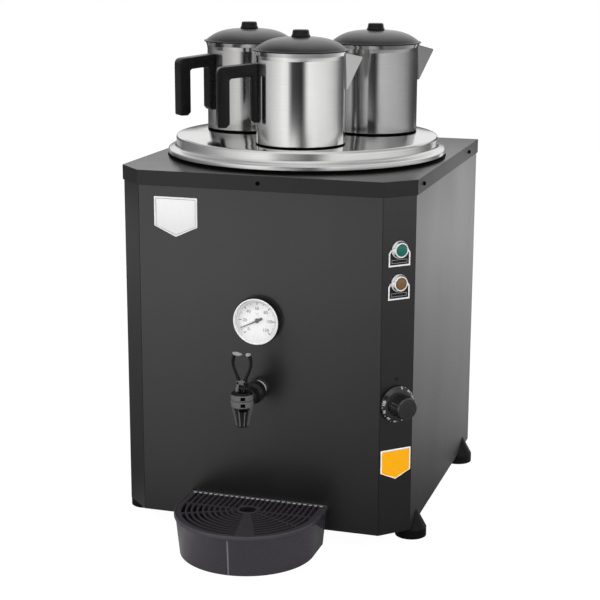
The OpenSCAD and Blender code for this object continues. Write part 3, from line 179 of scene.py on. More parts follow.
COAT = {"grain": 900, "strength": 0.10, "depth": 0.00006}
POT_BRUSH = {"grain": (2600, 5, 1), "strength": 0.06, "depth": 0.00003, "wear": (26, 26, 8), "uv": True,
             "aniso": 0.5, "rough_vary": 0.02}
MAT = {
    "paint": finish_mat("satin_black_powder_coat", (0.0045, 0.0045, 0.0046), 0.30, **COAT, wear=(9, 9, 4),
        edge=0.5, rough_vary=0.02, ior=1.72),
    "cap_paint": finish_mat("satin_black_cap_coat", (0.006, 0.0056, 0.0062), 0.23, **COAT, wear=9, edge=0.7,
        rough_vary=0.03, ior=1.54),
    "steel": finish_mat("brushed_stainless", (0.66, 0.655, 0.645), 0.24, 1.0, grain=(14, 14, 1800),
        strength=0.12, depth=0.00005, wear=20, vary=0.05),
    "pot_steel": finish_mat("pot_brushed_steel", (0.84, 0.835, 0.83), 0.12, 1.0, vary=0.06, **POT_BRUSH),
    # the pots further back: darker copies of the same pot steel, painted shade for the dimmer light they get
    "back_pot_shaded_steel": finish_mat("back_pot_brushed_steel_painted_shade", (0.56, 0.555, 0.55), 0.13, 1.0, vary=0.08,
        **POT_BRUSH),
    "right_pot_shaded_steel": finish_mat("right_pot_brushed_steel_painted_shade", 0.47, 0.15, 1.0, vary=0.08, **POT_BRUSH),
    # pot lids: dark steel, also darkened from 137 mm down to 123 mm by painted shade
    "lid_steel": finish_mat("pot_lid_dark_steel", 0.22, 0.34, 1.0, grain=(2200, 6, 1), strength=0.1,
        depth=0.00004, wear=30, vary=0.10, uv=True, aniso=0.3, edge=0.5, painted_shade_by_height=(123, 137, 0.12)),
    "top_steel": finish_mat("spun_lid_steel", (0.84, 0.835, 0.83), 0.11, 1.0, grain=(1500, 5, 1),
        strength=0.05, depth=0.00003, wear=14, vary=0.04, uv=True, aniso=0.35, rough_vary=0.02),
    "wall_steel": finish_mat("spun_lid_wall_steel", (0.84, 0.835, 0.83), 0.21, 1.0, grain=(1500, 5, 1),
        strength=0.08, depth=0.00004, wear=14, vary=0.08, uv=True, aniso=0.3, rough_vary=0.03),
    "zinc": finish_mat("zinc_plated_steel", (0.60, 0.60, 0.61), 0.28, 1.0, grain=900, strength=0.08,
        wear=120, edge=0.2),
    "chrome": finish_mat("polished_chrome", (0.78, 0.78, 0.79), 0.08, 1.0, grain=400, strength=0.02,
        wear=80, vary=0.02, rough_vary=0.03, edge=0.2),
    "handle": finish_mat("handle_black_bakelite", (0.0055, 0.0055, 0.0057), 0.28, grain=700, strength=0.08,
        wear=40, rough_vary=0.05, ior=1.33, edge=1.0),
    "plastic": finish_mat("moulded_black_plastic", (0.007, 0.007, 0.0073), 0.26, grain=600, strength=0.05,
        wear=70, rough_vary=0.06, edge=0.3, ior=1.42),
    "knob": finish_mat("glossy_knob_plastic", (0.007, 0.007, 0.0073), 0.18, grain=600, strength=0.05,
        wear=70, rough_vary=0.05, edge=0.3, ior=1.85),
    "seam_highlight": finish_mat("tray_seam_painted_highlight", (0.17, 0.16, 0.18), 0.30, grain=500, strength=0.05),
    # duller copy of the cap's paint for its upright faces: painted shade
    "skirt_shaded_paint": finish_mat("satin_black_skirt_coat_painted_shade", (0.0045, 0.0043, 0.0046), 0.32, **COAT, wear=9,
        edge=0.7, rough_vary=0.03, ior=1.48),
    # a lighter grey copy of the tap's black plastic: painted highlight on its rings, fins, bonnet, web and
    # left cheek
    "tap_highlight_grey": finish_mat("tap_painted_highlight_plastic", (0.105, 0.105, 0.107), 0.34, grain=600,
        strength=0.06, wear=70, rough_vary=0.05, edge=0.3, ior=1.5),
    "tray": finish_mat("glossy_tray_plastic", (0.045, 0.040, 0.050), 0.20, grain=500, strength=0.05,
        wear=22, rough_vary=0.06),
    "grille": finish_mat("grille_plastic", (0.034, 0.030, 0.034), 0.34, grain=700, strength=0.1, wear=50,
        rough_vary=0.06, edge=0.3),
    # dead black with almost no reflection: painted shade for screw heads, tap slots, the tap's mouth, the
    # pots' feet and the lid's seal lip
    "shadow": finish_mat("painted_shadow_black", 0.0015, 0.8, grain=900, strength=0.1, ior=1.12),
    # a still less reflective copy for the cap's left and right sides: painted shade
    "side_skirt_shaded_paint": finish_mat("satin_black_side_skirt_coat_painted_shade", 0.008, 0.36, **COAT, wear=9, edge=0.7,
        rough_vary=0.03, ior=1.22),
    "rubber": finish_mat("moulded_rubber", 0.004, 0.45, ior=1.3, grain=900, strength=0.2, wear=60, edge=0.6),
    "wool": finish_mat("mineral_wool", (0.55, 0.46, 0.22), 0.95, grain=260, strength=0.8, depth=0.002,
        vary=0.35, wear=40),
    "silicone": finish_mat("milky_silicone", (0.62, 0.62, 0.60), 0.45, grain=800, strength=0.05),
    "collar": finish_mat("pale_grey_collar", (0.46, 0.46, 0.455), 0.32, grain=700, strength=0.05, wear=90,
        edge=0.4),
    "cream": finish_mat("cream_moulding", (0.66, 0.62, 0.5), 0.5, grain=500, strength=0.06, edge=0.3),
    "lead": finish_mat("red_silicone_lead", (0.36, 0.03, 0.02), 0.5, grain=900, strength=0.1),
    "copper": finish_mat("drawn_copper", (0.72, 0.36, 0.2), 0.28, 1.0, grain=(60, 60, 900), strength=0.08,
        vary=0.15),
    "white": finish_mat("white_enamel", (0.96, 0.96, 0.955), 0.30, grain=500, strength=0.02, vary=0.015,
        wear=60, rough_vary=0.03),
    "ink": finish_mat("black_dial_ink", (0.03, 0.03, 0.032), 0.5, grain=900, strength=0.03),
    # grey print, also used as painted shade in the badge's groove and painted highlight on the lever's tips
    "grey_print_and_painted_light": finish_mat("grey_dial_ink_and_painted_light", (0.30, 0.30, 0.31), 0.5, grain=900, strength=0.03),
    "white_ink": finish_mat("white_print", 0.74, 0.45, grain=900, strength=0.03),
    "needle": finish_mat("needle_black_enamel", (0.02, 0.02, 0.021), 0.35, grain=900, strength=0.03),
    "silver": finish_mat("bright_badge_plate", 0.84, 0.40, 0.15, grain=(2200, 40, 40), strength=0.06,
        wear=60, vary=0.03, edge=0.3),
    # near-white stand-in for the bright chrome of the gauge and lamp rings: painted reflection
    "bezel": finish_mat("chrome_bezel_painted_white", 0.95, 0.30, 0.35, grain=400, strength=0.02, wear=80,
        vary=0.02, edge=0.2),
    "yellow": finish_mat("glossy_yellow_plate", (0.96, 0.42, 0.0015), 0.42, grain=400, strength=0.03,
        wear=60, vary=0.03, spec=0.12),
    "yellow_edge": finish_mat("pale_plate_edge", (0.90, 0.87, 0.78), 0.30, grain=400, strength=0.03),
    "green": finish_mat("green_lens_plastic", (0.006, 0.12, 0.095), 0.14, grain=900, strength=0.1, wear=200,
        vary=0.3),
    "amber": finish_mat("amber_lens_plastic", (0.16, 0.085, 0.03), 0.14, grain=900, strength=0.1, wear=200,
        vary=0.3),
    "slot_end_glint": finish_mat("painted_glint_slot_end", (0.42, 0.41, 0.42), 0.25, grain=700, strength=0.05),
}


def glass_mat():
    m, nt, b = new_mat("clear_gauge_glass")
    b.inputs["Base Color"].default_value = (0.97, 1.0, 1.0, 1)
    b.inputs["Alpha"].default_value = 0.06
    b.inputs["IOR"].default_value = 1.5
    smear = node(nt, "ShaderNodeTexNoise", Scale=60.0, Detail=4.0)
    span = node(nt, "ShaderNodeMapRange")
    span.inputs["To Min"].default_value = 0.02
    span.inputs["To Max"].default_value = 0.09
    nt.links.new(smear.outputs["Fac"], span.inputs["Value"])
    nt.links.new(span.outputs["Result"], b.inputs["Roughness"])
    return m


MAT["glass"] = glass_mat()


# ---------------- mesh helpers
def link(name, data):
    o = bpy.data.objects.new(name, data)
    bpy.context.scene.collection.objects.link(o)
    return o


def mesh_of(name, bm):
    me = bpy.data.meshes.new(name)
    bm.to_mesh(me)
    bm.free()
    return me


def resharp(o, sharp=35):
    o.data.polygons.foreach_set("use_smooth", [True] * len(o.data.polygons))
    o.data.set_sharp_from_angle(angle=math.radians(sharp))
    return o


def finish_mesh(name, me, mat, sharp=35):
    me.materials.clear()
    me.materials.append(MAT[mat])
    return resharp(link(name, me), sharp)


def from_bm(name, bm, mat, sharp=35):
    bmesh.ops.recalc_face_normals(bm, faces=bm.faces)
    return finish_mesh(name, mesh_of(name, bm), mat, sharp)


def ring_verts(bm, outline, z):
    return [bm.verts.new((x * MM, y * MM, z * MM)) for x, y in outline]


def bridge(bm, a, b):
    """Faces between two closed rings of points."""
    n = len(a)
    for k in range(n):
        j = (k + 1) % n
        bm.faces.new((a[k], a[j], b[j], b[k]))


def apply_mods(o):
    dg = bpy.context.evaluated_depsgraph_get()
    me = bpy.data.meshes.new_from_object(o.evaluated_get(dg))
    o.modifiers.clear()
    old = o.data
    o.data = me
    bpy.data.meshes.remove(old)
    return o


def bevel(o, width, segments=3, angle=30):
    b = o.modifiers.new("bevel", "BEVEL")
    b.width, b.segments, b.limit_method = width * MM, segments, "ANGLE"
    b.angle_limit = math.radians(angle)
    return resharp(apply_mods(o))


def boolean(o, cutter, operation="DIFFERENCE"):
    b = o.modifiers.new("boolean", "BOOLEAN")
    b.object, b.operation, b.solver = cutter, operation, "EXACT"
    apply_mods(o)
    bpy.data.objects.remove(cutter)
    return resharp(o)


def join(name, parts):
    """Joins pieces, keeping each one's material."""
    mats = []
    bm = bmesh.new()
    bm.loops.layers.uv.new("UVMap")
    for o in parts:
        me = o.data.copy()
        me.transform(o.matrix_world)
        index = []
        for m in me.materials:
            if m not in mats:
                mats.append(m)
            index.append(mats.index(m))
        before = len(bm.faces)
        bm.from_mesh(me)
        bm.faces.ensure_lookup_table()
        for f in bm.faces[before:]:
            f.material_index = index[f.material_index] if index else 0
        bpy.data.meshes.remove(me)
        bpy.data.objects.remove(o)
    me = mesh_of(name, bm)
    for m in mats:
        me.materials.append(m)
    return link(name, me)


def round_line(points, steps=4, closed=False):
    """Rounds the corners of a 2-D line. A point is (x, y) or (x, y, radius)."""
    out = []
    n = len(points)
    for i, p in enumerate(points):
        r = p[2] if len(p) > 2 else 0
        if not r or (not closed and i in (0, n - 1)):
            out.append((p[0], p[1]))
            continue
        c = Vector(p[:2])
        a, b = Vector(points[i - 1][:2]) - c, Vector(points[(i + 1) % n][:2]) - c
        d = min(r / math.tan(a.angle(b) / 2), 0.49 * a.length, 0.49 * b.length)
        s, e = c + a.normalized() * d, c + b.normalized() * d
        for k in range(steps + 1):
            t = k / steps
            q = (1 - t) ** 2 * s + 2 * t * (1 - t) * c + t * t * e
            out.append((q.x, q.y))
    return out


def rounded(points, radius):
    return round_line([(x, y, radius) for x, y in points], closed=True)


def lathe(name, profile, mat, turns):
    """A turned shape round local Z. Profile is (radius, height) in mm, from one end to the other."""
    bm = bmesh.new()
    uv = bm.loops.layers.uv.new("UVMap")
    run = [0.0]
    for a, b in zip(profile, profile[1:]):
        run.append(run[-1] + math.dist(a[:2], b[:2]) * MM)
    rings = []
    for r, z in profile:
        if r < 1e-6:
            rings.append([bm.verts.new((0, 0, z * MM))] * turns)
        else:
            rings.append([bm.verts.new((r * MM * math.cos(2 * math.pi * k / turns),
                                        r * MM * math.sin(2 * math.pi * k / turns), z * MM))
                          for k in range(turns)])
    for i in range(len(rings) - 1):
        for k in range(turns):
            j = (k + 1) % turns
            corners = [(rings[i][k], run[i], k), (rings[i][j], run[i], k + 1),
                       (rings[i + 1][j], run[i + 1], k + 1), (rings[i + 1][k], run[i + 1], k)]
            seen, kept = set(), []
            for c in corners:
                if c[0] not in seen:
                    seen.add(c[0])
                    kept.append(c)
            if len(kept) < 3:
                continue
            f = bm.faces.new([c[0] for c in kept])
            for loop, c in zip(f.loops, kept):
                loop[uv].uv = (c[1], c[2] / turns)
    return from_bm(name, bm, mat)


def prism(name, outline, z0, z1, mat):
    """An outline in local X and Y, from z0 up to z1, in mm."""
    bm = bmesh.new()
    low, high = ring_verts(bm, outline, z0), ring_verts(bm, outline, z1)
    bm.faces.new(list(reversed(low)))
    bm.faces.new(high)
    bridge(bm, low, high)
    return from_bm(name, bm, mat)


def box(name, lo, hi, mat):
    return prism(name, [(lo[0], lo[1]), (hi[0], lo[1]), (hi[0], hi[1]), (lo[0], hi[1])], lo[2], hi[2], mat)


def pipe(name, points, radii, mat, sides=20, squash=1.0):
    """A round bar along points (mm), with a radius at each; squash flattens it along local Y."""
    bm = bmesh.new()
    rings = []
    for i, p in enumerate(points):
        a, b = points[max(0, i - 1)], points[min(len(points) - 1, i + 1)]
        t = (Vector(b) - Vector(a)).normalized()
        side = Vector((0, 1, 0)) if abs(t.y) < 0.9 else Vector((1, 0, 0))
        u = t.cross(side).normalized()
        v = t.cross(u).normalized()
        r = radii[i] if isinstance(radii, (list, tuple)) else radii
        rings.append([bm.verts.new((Vector(p) + u * r * math.cos(w) + v * r * squash * math.sin(w)) * MM)
                      for w in (2 * math.pi * k / sides for k in range(sides))])
    for x, y in zip(rings, rings[1:]):
        bridge(bm, x, y)
    bm.faces.new(rings[0])
    bm.faces.new(list(reversed(rings[-1])))
    return from_bm(name, bm, mat, 50)


def move(o, m):
    o.data.transform(m)
    return o


def words(name, body, size, mat, thick=0.06):
    """Plain numerals as a thin raised print, centred on local X and Y, in mm."""
    c = bpy.data.curves.new(name, "FONT")
    c.body, c.size, c.extrude = body, size * MM, thick * MM
    c.align_x, c.align_y = "CENTER", "CENTER"
    c.resolution_u = 3
    o = link(name, c)
    me = bpy.data.meshes.new_from_object(o.evaluated_get(bpy.context.evaluated_depsgraph_get()))
    bpy.data.objects.remove(o)
    me.name = name
    return finish_mesh(name, me, mat)


def T(x, y, z):
    return Matrix.Translation(Vector((x, y, z)) * MM)


def R(deg, axis="Z"):
    return Matrix.Rotation(math.radians(deg), 4, axis)


def on_front(x, z):
    """Local +Z out of the front panel and +Y up."""
    return T(x, FRONT_Y, z) @ R(90, "X")


def on_corner(z):
    return T(CORNER[0], CORNER[1], z) @ R(45) @ R(90, "X")


def put(o, m, body, slot=None, *nodes):
    o.matrix_world = m
    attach(o, body)
    if nodes:
        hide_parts(*nodes)
    return o


def dress(n, mat):
    o = NODES[n]
    o.data.materials.clear()
    o.data.materials.append(MAT[mat])
    o.data.polygons.foreach_set("material_index", [0] * len(o.data.polygons))
    return o


def face_finish(o, mat, test):
    """Gives the faces that pass the test another finish."""
    o.data.materials.append(MAT[mat])
    index = len(o.data.materials) - 1
    for f in o.data.polygons:
        if test(f):
            f.material_index = index


# ---------------- CAD nodes that stay
for names, mat in [
        (("left_side_panel", "right_side_panel", "front_panel", "back_panel", "base_plate"), "paint"),
        (("top_cap",), "cap_paint"),
        (("water_tank", "heating_element", "thermowell", "gauge_stem"), "steel"),
        (("foot_screws", "element_nuts", "lock_nuts", "lever_pin"), "zinc"),
        (("rubber_feet", "tank_seal", "tank_gaskets"), "rubber"),
        (("tank_insulation",), "wool"), (("seat_cup",), "silicone"), (("tap_collar",), "collar"),
        (("lamp_bodies", "safety_limiter", "cable_gland", "valve_stem"), "plastic"),
        (("terminal_block", "thermostat_body"), "cream"), (("wiring",), "lead"),
        (("thermostat_bulb",), "copper"), (("gauge_glass",), "glass"), (("pointer_dot",), "plastic")]:
    for n in names:
        dress(n, mat)
# painted shade: the cap's upright faces, and its left and right sides, take the darker copies of its paint
face_finish(NODES["top_cap"], "skirt_shaded_paint", lambda f: abs(f.normal.z) < 0.3)
face_finish(NODES["top_cap"], "side_skirt_shaded_paint", lambda f: abs(f.normal.x) > 0.9)


# ---------------- cabinet screws
def screw():
    # the head is dead black: painted shade of a recessed screw
    head = lathe("screw_head", round_line([(0, 0.0), (2.6, 0), (2.6, 1.2, 0.8), (1.7, 2.2, 0.6), (0, 2.3)]),
                 "shadow", 32)
    for turn in (0, 90):
        boolean(head, move(box("cut", (-1.5, -0.35, 1.1), (1.5, 0.35, 3), "ink"), R(turn)))
    return [head, lathe("screw_shank", [(0, -8), (2, -8), (2, 0.2), (0, 0.2)], "zinc", 24)]


heads = []
for x, y, turn in [(0, -215, 0), (200, -147, 90), (200, 147, 90), (-200, -147, -90), (-200, 147, -90),
                   (-147, 215, 180), (147, 215, 180)]:
    heads += [move(o, T(x, y + MID_Y, SCREW_Z) @ R(turn) @ R(90, "X")) for o in screw()]
put(join("cabinet_screw_heads", heads), Matrix(), "cabinet", "screw_steel", "cabinet_screws")


# ---------------- urn lid
def urn_lid():
    t, r, f = 1.2, 178.5, 191.5
    fz, lz = 496.0, FLANGE_LOW
    outer = [(0, LID_TOP), (r - 1, LID_TOP), (r + 1.2, LID_TOP - 0.4, 1.5), (r + 2, LID_TOP - 3.0, 1.5),
             (r + 2, fz + 5.6, 3), (r + 3.6, fz + 3.0, 3), (f - 1.5, fz + 1.2, 2), (f, fz, 1.2), (f, lz)]
    inner = [(f - t, lz), (f - t, fz - 0.6, 1), (r + 4.4, fz + 1.2, 2), (r + 1.4, fz + 3.4, 3),
             (r + 2 - t, fz + 6), (r + 2 - t, LID_TOP - 3, 1), (r - 1, LID_TOP - t), (0, LID_TOP - t)]
    disc = lathe("spun_urn_lid", round_line(outer) + round_line(inner), "top_steel", 256)
    face_finish(disc, "wall_steel", lambda f: f.normal.z < 0.97 or f.center.z < (LID_TOP - 1) * MM)
    collars = []
    for x, y, _ in POTS.values():
        at, low = T(x, y - MID_Y, 0), LID_TOP - 6
        boolean(disc, move(lathe("cut", [(0, 500), (46.2, 500), (46.2, 520), (0, 520)], "ink", 96), at))
        ring = lathe("collar", [(45, low), (45, LID_TOP), (46.4, LID_TOP), (46.4, low), (45, low)],
                     "top_steel", 96)
        collars.append(move(ring, at))
    put(join("spun_urn_lid", [disc] + collars), T(0, MID_Y, 0), "lid", "stainless", "urn_lid")


urn_lid()
# a dead-black lip under the lid's flange and a thin black ring on the cap round it: painted shade of the gap
# under the flange
lip = lathe("seal_lip_painted_shade", round_line([(184, CAP_TOP + 0.05), (192.6, CAP_TOP + 0.05), (190.8, CAP_TOP + 0.9),
                                    (190.8, SEAL_TOP), (184, SEAL_TOP), (184, CAP_TOP + 0.05)]),
            "shadow", 192)
put(lip, T(0, MID_Y, 0), "cabinet", "foot_rubber")


# ---------------- teapots
def pot_body(name, steel):
    w = POT_WALL
    outer = [(0, 0), (POT_R - 2.5, 0), (POT_R, 0.2, 1.6), (POT_R, 3), (POT_R, POT_H - 10, 6),
             (POT_R + 0.7, POT_H - 5, 5), (POT_R + 2.4, POT_H - 0.6), (POT_R + 2.6, POT_H, 0.3)]
    inner = [(POT_R + 2.6 - w, POT_H), (POT_R + 0.7 - w, POT_H - 5, 5), (POT_R - w, POT_H - 10, 6),
             (POT_R - w, 3), (POT_R - w, w, 2), (0, w)]
    body = lathe(name, round_line(outer) + round_line(inner), steel, 192)

    def wedge(s):
        tip, root, low, half = 82 - 2 * s, POT_R - 4, 72 + 3 * s, 18 - 1.2 * s
        side = prism("wedge", [(root, low), (POT_R, low), (tip, POT_H - 11), (tip, POT_H - 9 + 12 * s),
                               (POT_R, POT_H - 3 + 12 * s), (root, POT_H - 3 + 12 * s)], -POT_R, POT_R, steel)
        move(side, R(90, "X"))
        plan = prism("plan", [(root, -half - 3), (tip, -1), (tip, 1), (root, half + 3)], 0, 2 * POT_H, steel)
        return boolean(side, plan, "INTERSECT")

    boolean(body, wedge(0), "UNION")
    core = lathe("core", [(0, 1), (POT_R - w, 1.2), (POT_R - w, POT_H - 9), (POT_R + 1.7, POT_H + 1),
                          (0, POT_H + 1)], steel, 192)
    boolean(body, core)
    boolean(body, wedge(w))
    # a dead-black ring at the foot: painted shadow where the pot stands on the lid
    foot = lathe("foot", round_line([(POT_R - 3, 0), (POT_R - 0.4, 0), (POT_R + 0.2, 0.5, 0.4),
                                     (POT_R + 0.2, 2.0, 0.3), (POT_R - 0.4, 2.5), (POT_R - 3, 0)]),
                 "shadow", 192)
    return join(name, [body, foot])


def pot_handle(name):
    outline = round_line([(58.2, 106), (111, 101, 9), (111, 23, 2.5), (99.5, 23, 2), (95, 27.5, 2),
                          (95, 86.5, 4), (67, 89.2, 4), (67, 33, 2), (63.5, 29, 1.5), (58.2, 29)],
                         closed=True)
    return move(bevel(prism(name, outline, -10, 10, "handle"), 2.2, 4, 50), R(180) @ R(90, "X"))


def pot_lid(name):
    z0, rim, rl = POT_LID_Z, POT_LID_RIM, 63.5
    plug = POT_R - POT_WALL - 0.6
    arc = [((rl - 2.6) * (k / 28), z0 + rim + POT_LID_DOME * (1 - (k / 28) ** 3.4)) for k in range(29)]
    outer = arc + round_line([(rl - 2.6, z0 + rim), (rl - 1.4, z0 + rim - 0.3, 0.6),
                              (rl, z0 + rim - 0.4, 0.5), (rl, z0, 0.5),
                              (plug + 0.4, z0), (plug, z0 - 0.5), (plug, z0 - 7, 0.8),
                              (plug - 0.9, z0 - 7, 0.4), (plug - 0.9, z0 + 1)])[1:]
    inner = [(r * 0.9, z - 0.9) for r, z in reversed(arc[:-1])]
    return lathe(name, outer + inner, "lid_steel", 160)


def pot_knob(name):
    top = POT_LID_Z + POT_LID_RIM + POT_LID_DOME - 0.3
    return lathe(name, [(0, top - 0.6)] + round_line(
        [(11, top - 0.6), (12.4, top + 0.6, 1), (12.4, top + 2.4, 0.8), (11.4, top + 3.6, 1),
         (10.6, top + 8.6, 0.8), (9.6, top + 9.6, 0.9), (0, top + 9.8)], 5), "handle", 72)


for name, (x, y, turn) in POTS.items():
    m = T(x, y, POT_Z) @ R(turn)
    # the front pot keeps the plain steel, the others take its darker painted-shade copies
    steel = {"front_pot": "pot_steel", "right_pot": "right_pot_shaded_steel"}.get(name, "back_pot_shaded_steel")
    put(pot_body(name + "_brushed", steel), m, name, "pot_steel", name + "_body")
    put(pot_handle(name + "_grip"), m, name, "handle_plastic", name + "_handle")
    put(pot_lid(name + "_dome"), m, name + "_cover", "lid_steel", name + "_lid")
    put(pot_knob(name + "_button"), m, name + "_cover", "handle_plastic", name + "_knob")


# ---------------- tap
def side_slots(ring, z0, z1):
    """Cuts the two moulded slots of a tap's ring and gives the dead-black blocks behind them: painted shade
    in the slots.
    """
    shade_blocks = []
    for a in (TAP_FACE - 90, TAP_FACE + 90):
        boolean(ring, move(box("slot", (12.0, -3.0, z0), (16, 3.0, z1), "ink"), R(a)))
        shade_blocks.append(move(box("shade_block", (11.6, -2.9, z0 + 0.1), (13.4, 2.9, z1 - 0.1), "shadow"), R(a)))
    return shade_blocks


def tap():
    lo, out = TAP_Z - 4.5, TAP_Z - 31
    spout = lathe("spout", round_line([(5, TAP_Z - 6), (5, lo - 4), (6, lo - 6), (6, out), (7.6, out, 0.4),
                                       (7.9, out + 7, 4), (10.2, lo - 5, 6), (12.4, lo - 0.6, 2),
                                       (12.4, lo + 0.2)]), "plastic", 96)
    parts = [spout]
    for k in range(10):
        fin = prism("fin", [(6.5, out + 2), (8.7, out + 2), (9.6, out + 9), (13.7, lo - 1.2),
                            (13.7, lo + 0.3), (6.5, lo + 0.3)], -0.6, 0.6, "tap_highlight_grey")
        parts.append(move(fin, R(-90 + 36 * k) @ R(90, "X")))
    low = lathe("low_ring", round_line([(11.4, lo), (13.6, lo, 0.6), (14.5, lo + 1.2, 0.8),
                                        (14.5, TAP_Z + 3.2, 0.6), (13.9, TAP_Z + 4.2, 0.5),
                                        (11.0, TAP_Z + 4.3), (11.0, TAP_Z + 11.7), (8.5, TAP_Z + 11.7),
                                        (8.5, TAP_Z - 3.5), (5, TAP_Z - 3.5), (5, lo), (11.4, lo)]),
                "tap_highlight_grey", 96)
    parts += side_slots(low, TAP_Z - 2.6, TAP_Z + 2.2) + [low]
    # the mouth is a flat dead-black patch below the low ring: painted shade
    mouth = lathe("mouth", round_line([(0, 0), (5.6, 0), (5.6, 1.4, 0.8), (0, 1.6)]), "shadow", 32)
    flat = Matrix.Diagonal((1, 0.42, 1, 1))
    parts.append(move(mouth, R(TAP_FACE) @ T(0, -12.4, lo - 2.0) @ R(90, "X") @ flat))
    arm = lathe("arm", round_line([(5.5, 8), (9.0, 8), (10.4, 16, 2), (10.4, 21), (11.5, 22.0, 0.6),
                                   (11.5, 30, 0.6), (10.2, 31), (10.2, 38, 2), (14.0, 42.5, 1.5),
                                   (14.2, 54.4, 0.5), (10.0, 54.5), (10.0, 110.5), (5.5, 110.5), (5.5, 8)]),
                "plastic", 72)
    parts.append(move(arm, T(0, 0, TAP_Z) @ R(-90, "X")))
    put(join("tap_moulding", parts), T(*TAP, 0), "cabinet", "tap_plastic", "tap_body")

    z0, z1 = TAP_Z + 4.6, TAP_Z + 14.7
    cap = lathe("bonnet", round_line([(11.05, z0), (13.8, z0, 0.5), (14.5, z0 + 0.9, 0.6),
                                      (14.5, z1 - 2.6, 0.8), (13.2, z1 - 1.2, 0.6), (11.8, z1 - 1.0, 0.5),
                                      (11.4, z1, 0.5), (3.05, z1), (3.05, z1 - 2.2), (11.05, z1 - 2.2),
                                      (11.05, z0)]), "tap_highlight_grey", 96)
    shade_blocks = side_slots(cap, z0 + 1.6, z0 + 6.2)
    # the bonnet's top keeps the black plastic; its lighter grey sides are painted highlight
    face_finish(cap, "handle", lambda f: f.center.z > (z1 - 2.5) * MM and f.center.xy.length < 14 * MM)
    put(join("bonnet", [cap] + shade_blocks), T(*TAP, 0), "cabinet", "tap_plastic", "tap_bonnet")


def lever():
    parts = []
    for side in (-1, 1):
        # the left cheek takes the lighter grey copy, a painted highlight on that side
        cheek = prism("cheek", round_line([(LEVER_HEEL, 0, 2), (LEVER_HEEL, -4, 2), (0, -4, 0.5),
                                           (4, -4, 3.5), (4, 10.4, 1.2), (-4, 10.4, 1.2), (-4, 4, 2)],
                                          closed=True), 0, 3.1, "handle" if side > 0 else "tap_highlight_grey")
        bevel(cheek, 0.4, 2, 50)
        parts.append(move(cheek, T(3.1 if side > 0 else -6.2, 0, 0) @ R(90) @ R(90, "X")))
        pts, rad = [], []
        for k in range(17):
            t = k / 16
            x = HORN_ROOT + HORN_SPREAD * math.sin(min(1.0, t * 1.12) * math.pi * 0.5) ** 1.1
            x -= 2.8 * max(0.0, t - 0.62) ** 1.4 * 4
            pts.append((side * x, 0, HORN_LOW + HORN_RISE * t))
            rad.append(2.2 - 0.45 * math.sin(math.pi * min(1.0, t * 1.15)))
        parts.append(pipe("horn", pts, rad, "handle", 20, 1.25))
        end = pts[-1]
        # the grey tips are painted highlights on the horns' ends
        tip = lathe("tip", round_line([(0, -1.6), (2.6, -1.6, 1), (4.0, 0.2, 1.2), (3.8, 1.4, 0.8),
                                       (0, 1.9)]), "grey_print_and_painted_light", 32)
        inward, wide = (3.6, 1.6) if side < 0 else (1.8, 0.8)
        parts.append(move(tip, T(end[0] - side * inward, end[1], end[2] + 0.8) @ R(9, "Y")
                          @ Matrix.Diagonal((wide, 1.2, 1, 1))))
    web = prism("web", round_line([(-6.2, 5.6), (6.2, 5.6), (6.2, 10.4, 2), (-6.2, 10.4, 2)], closed=True),
                -4, 4, "tap_highlight_grey")
    parts.append(bevel(move(web, R(90, "X")), 0.5, 2, 50))
    put(join("lyre_lever", parts), T(*TAP, PIN_Z), "lever", "tap_plastic", "tap_lever")


def spring():
    """The return spring: a wire coil filling the height of the CAD spring."""
    lo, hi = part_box("tap_spring")
    low, high = lo.z / MM + SPRING_WIRE, hi.z / MM - SPRING_WIRE
    pts, steps = [], 24 * SPRING_TURNS
    for k in range(steps + 1):
        a = 2 * math.pi * k / 24
        pts.append((SPRING_R * math.cos(a), SPRING_R * math.sin(a), low + (high - low) * k / steps))
    o = pipe("return_spring", pts, SPRING_WIRE, "zinc", 10)
    put(o, T(*TAP, 0), "cabinet", "screw_steel", "tap_spring")
    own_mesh(o)


tap()
lever()
spring()


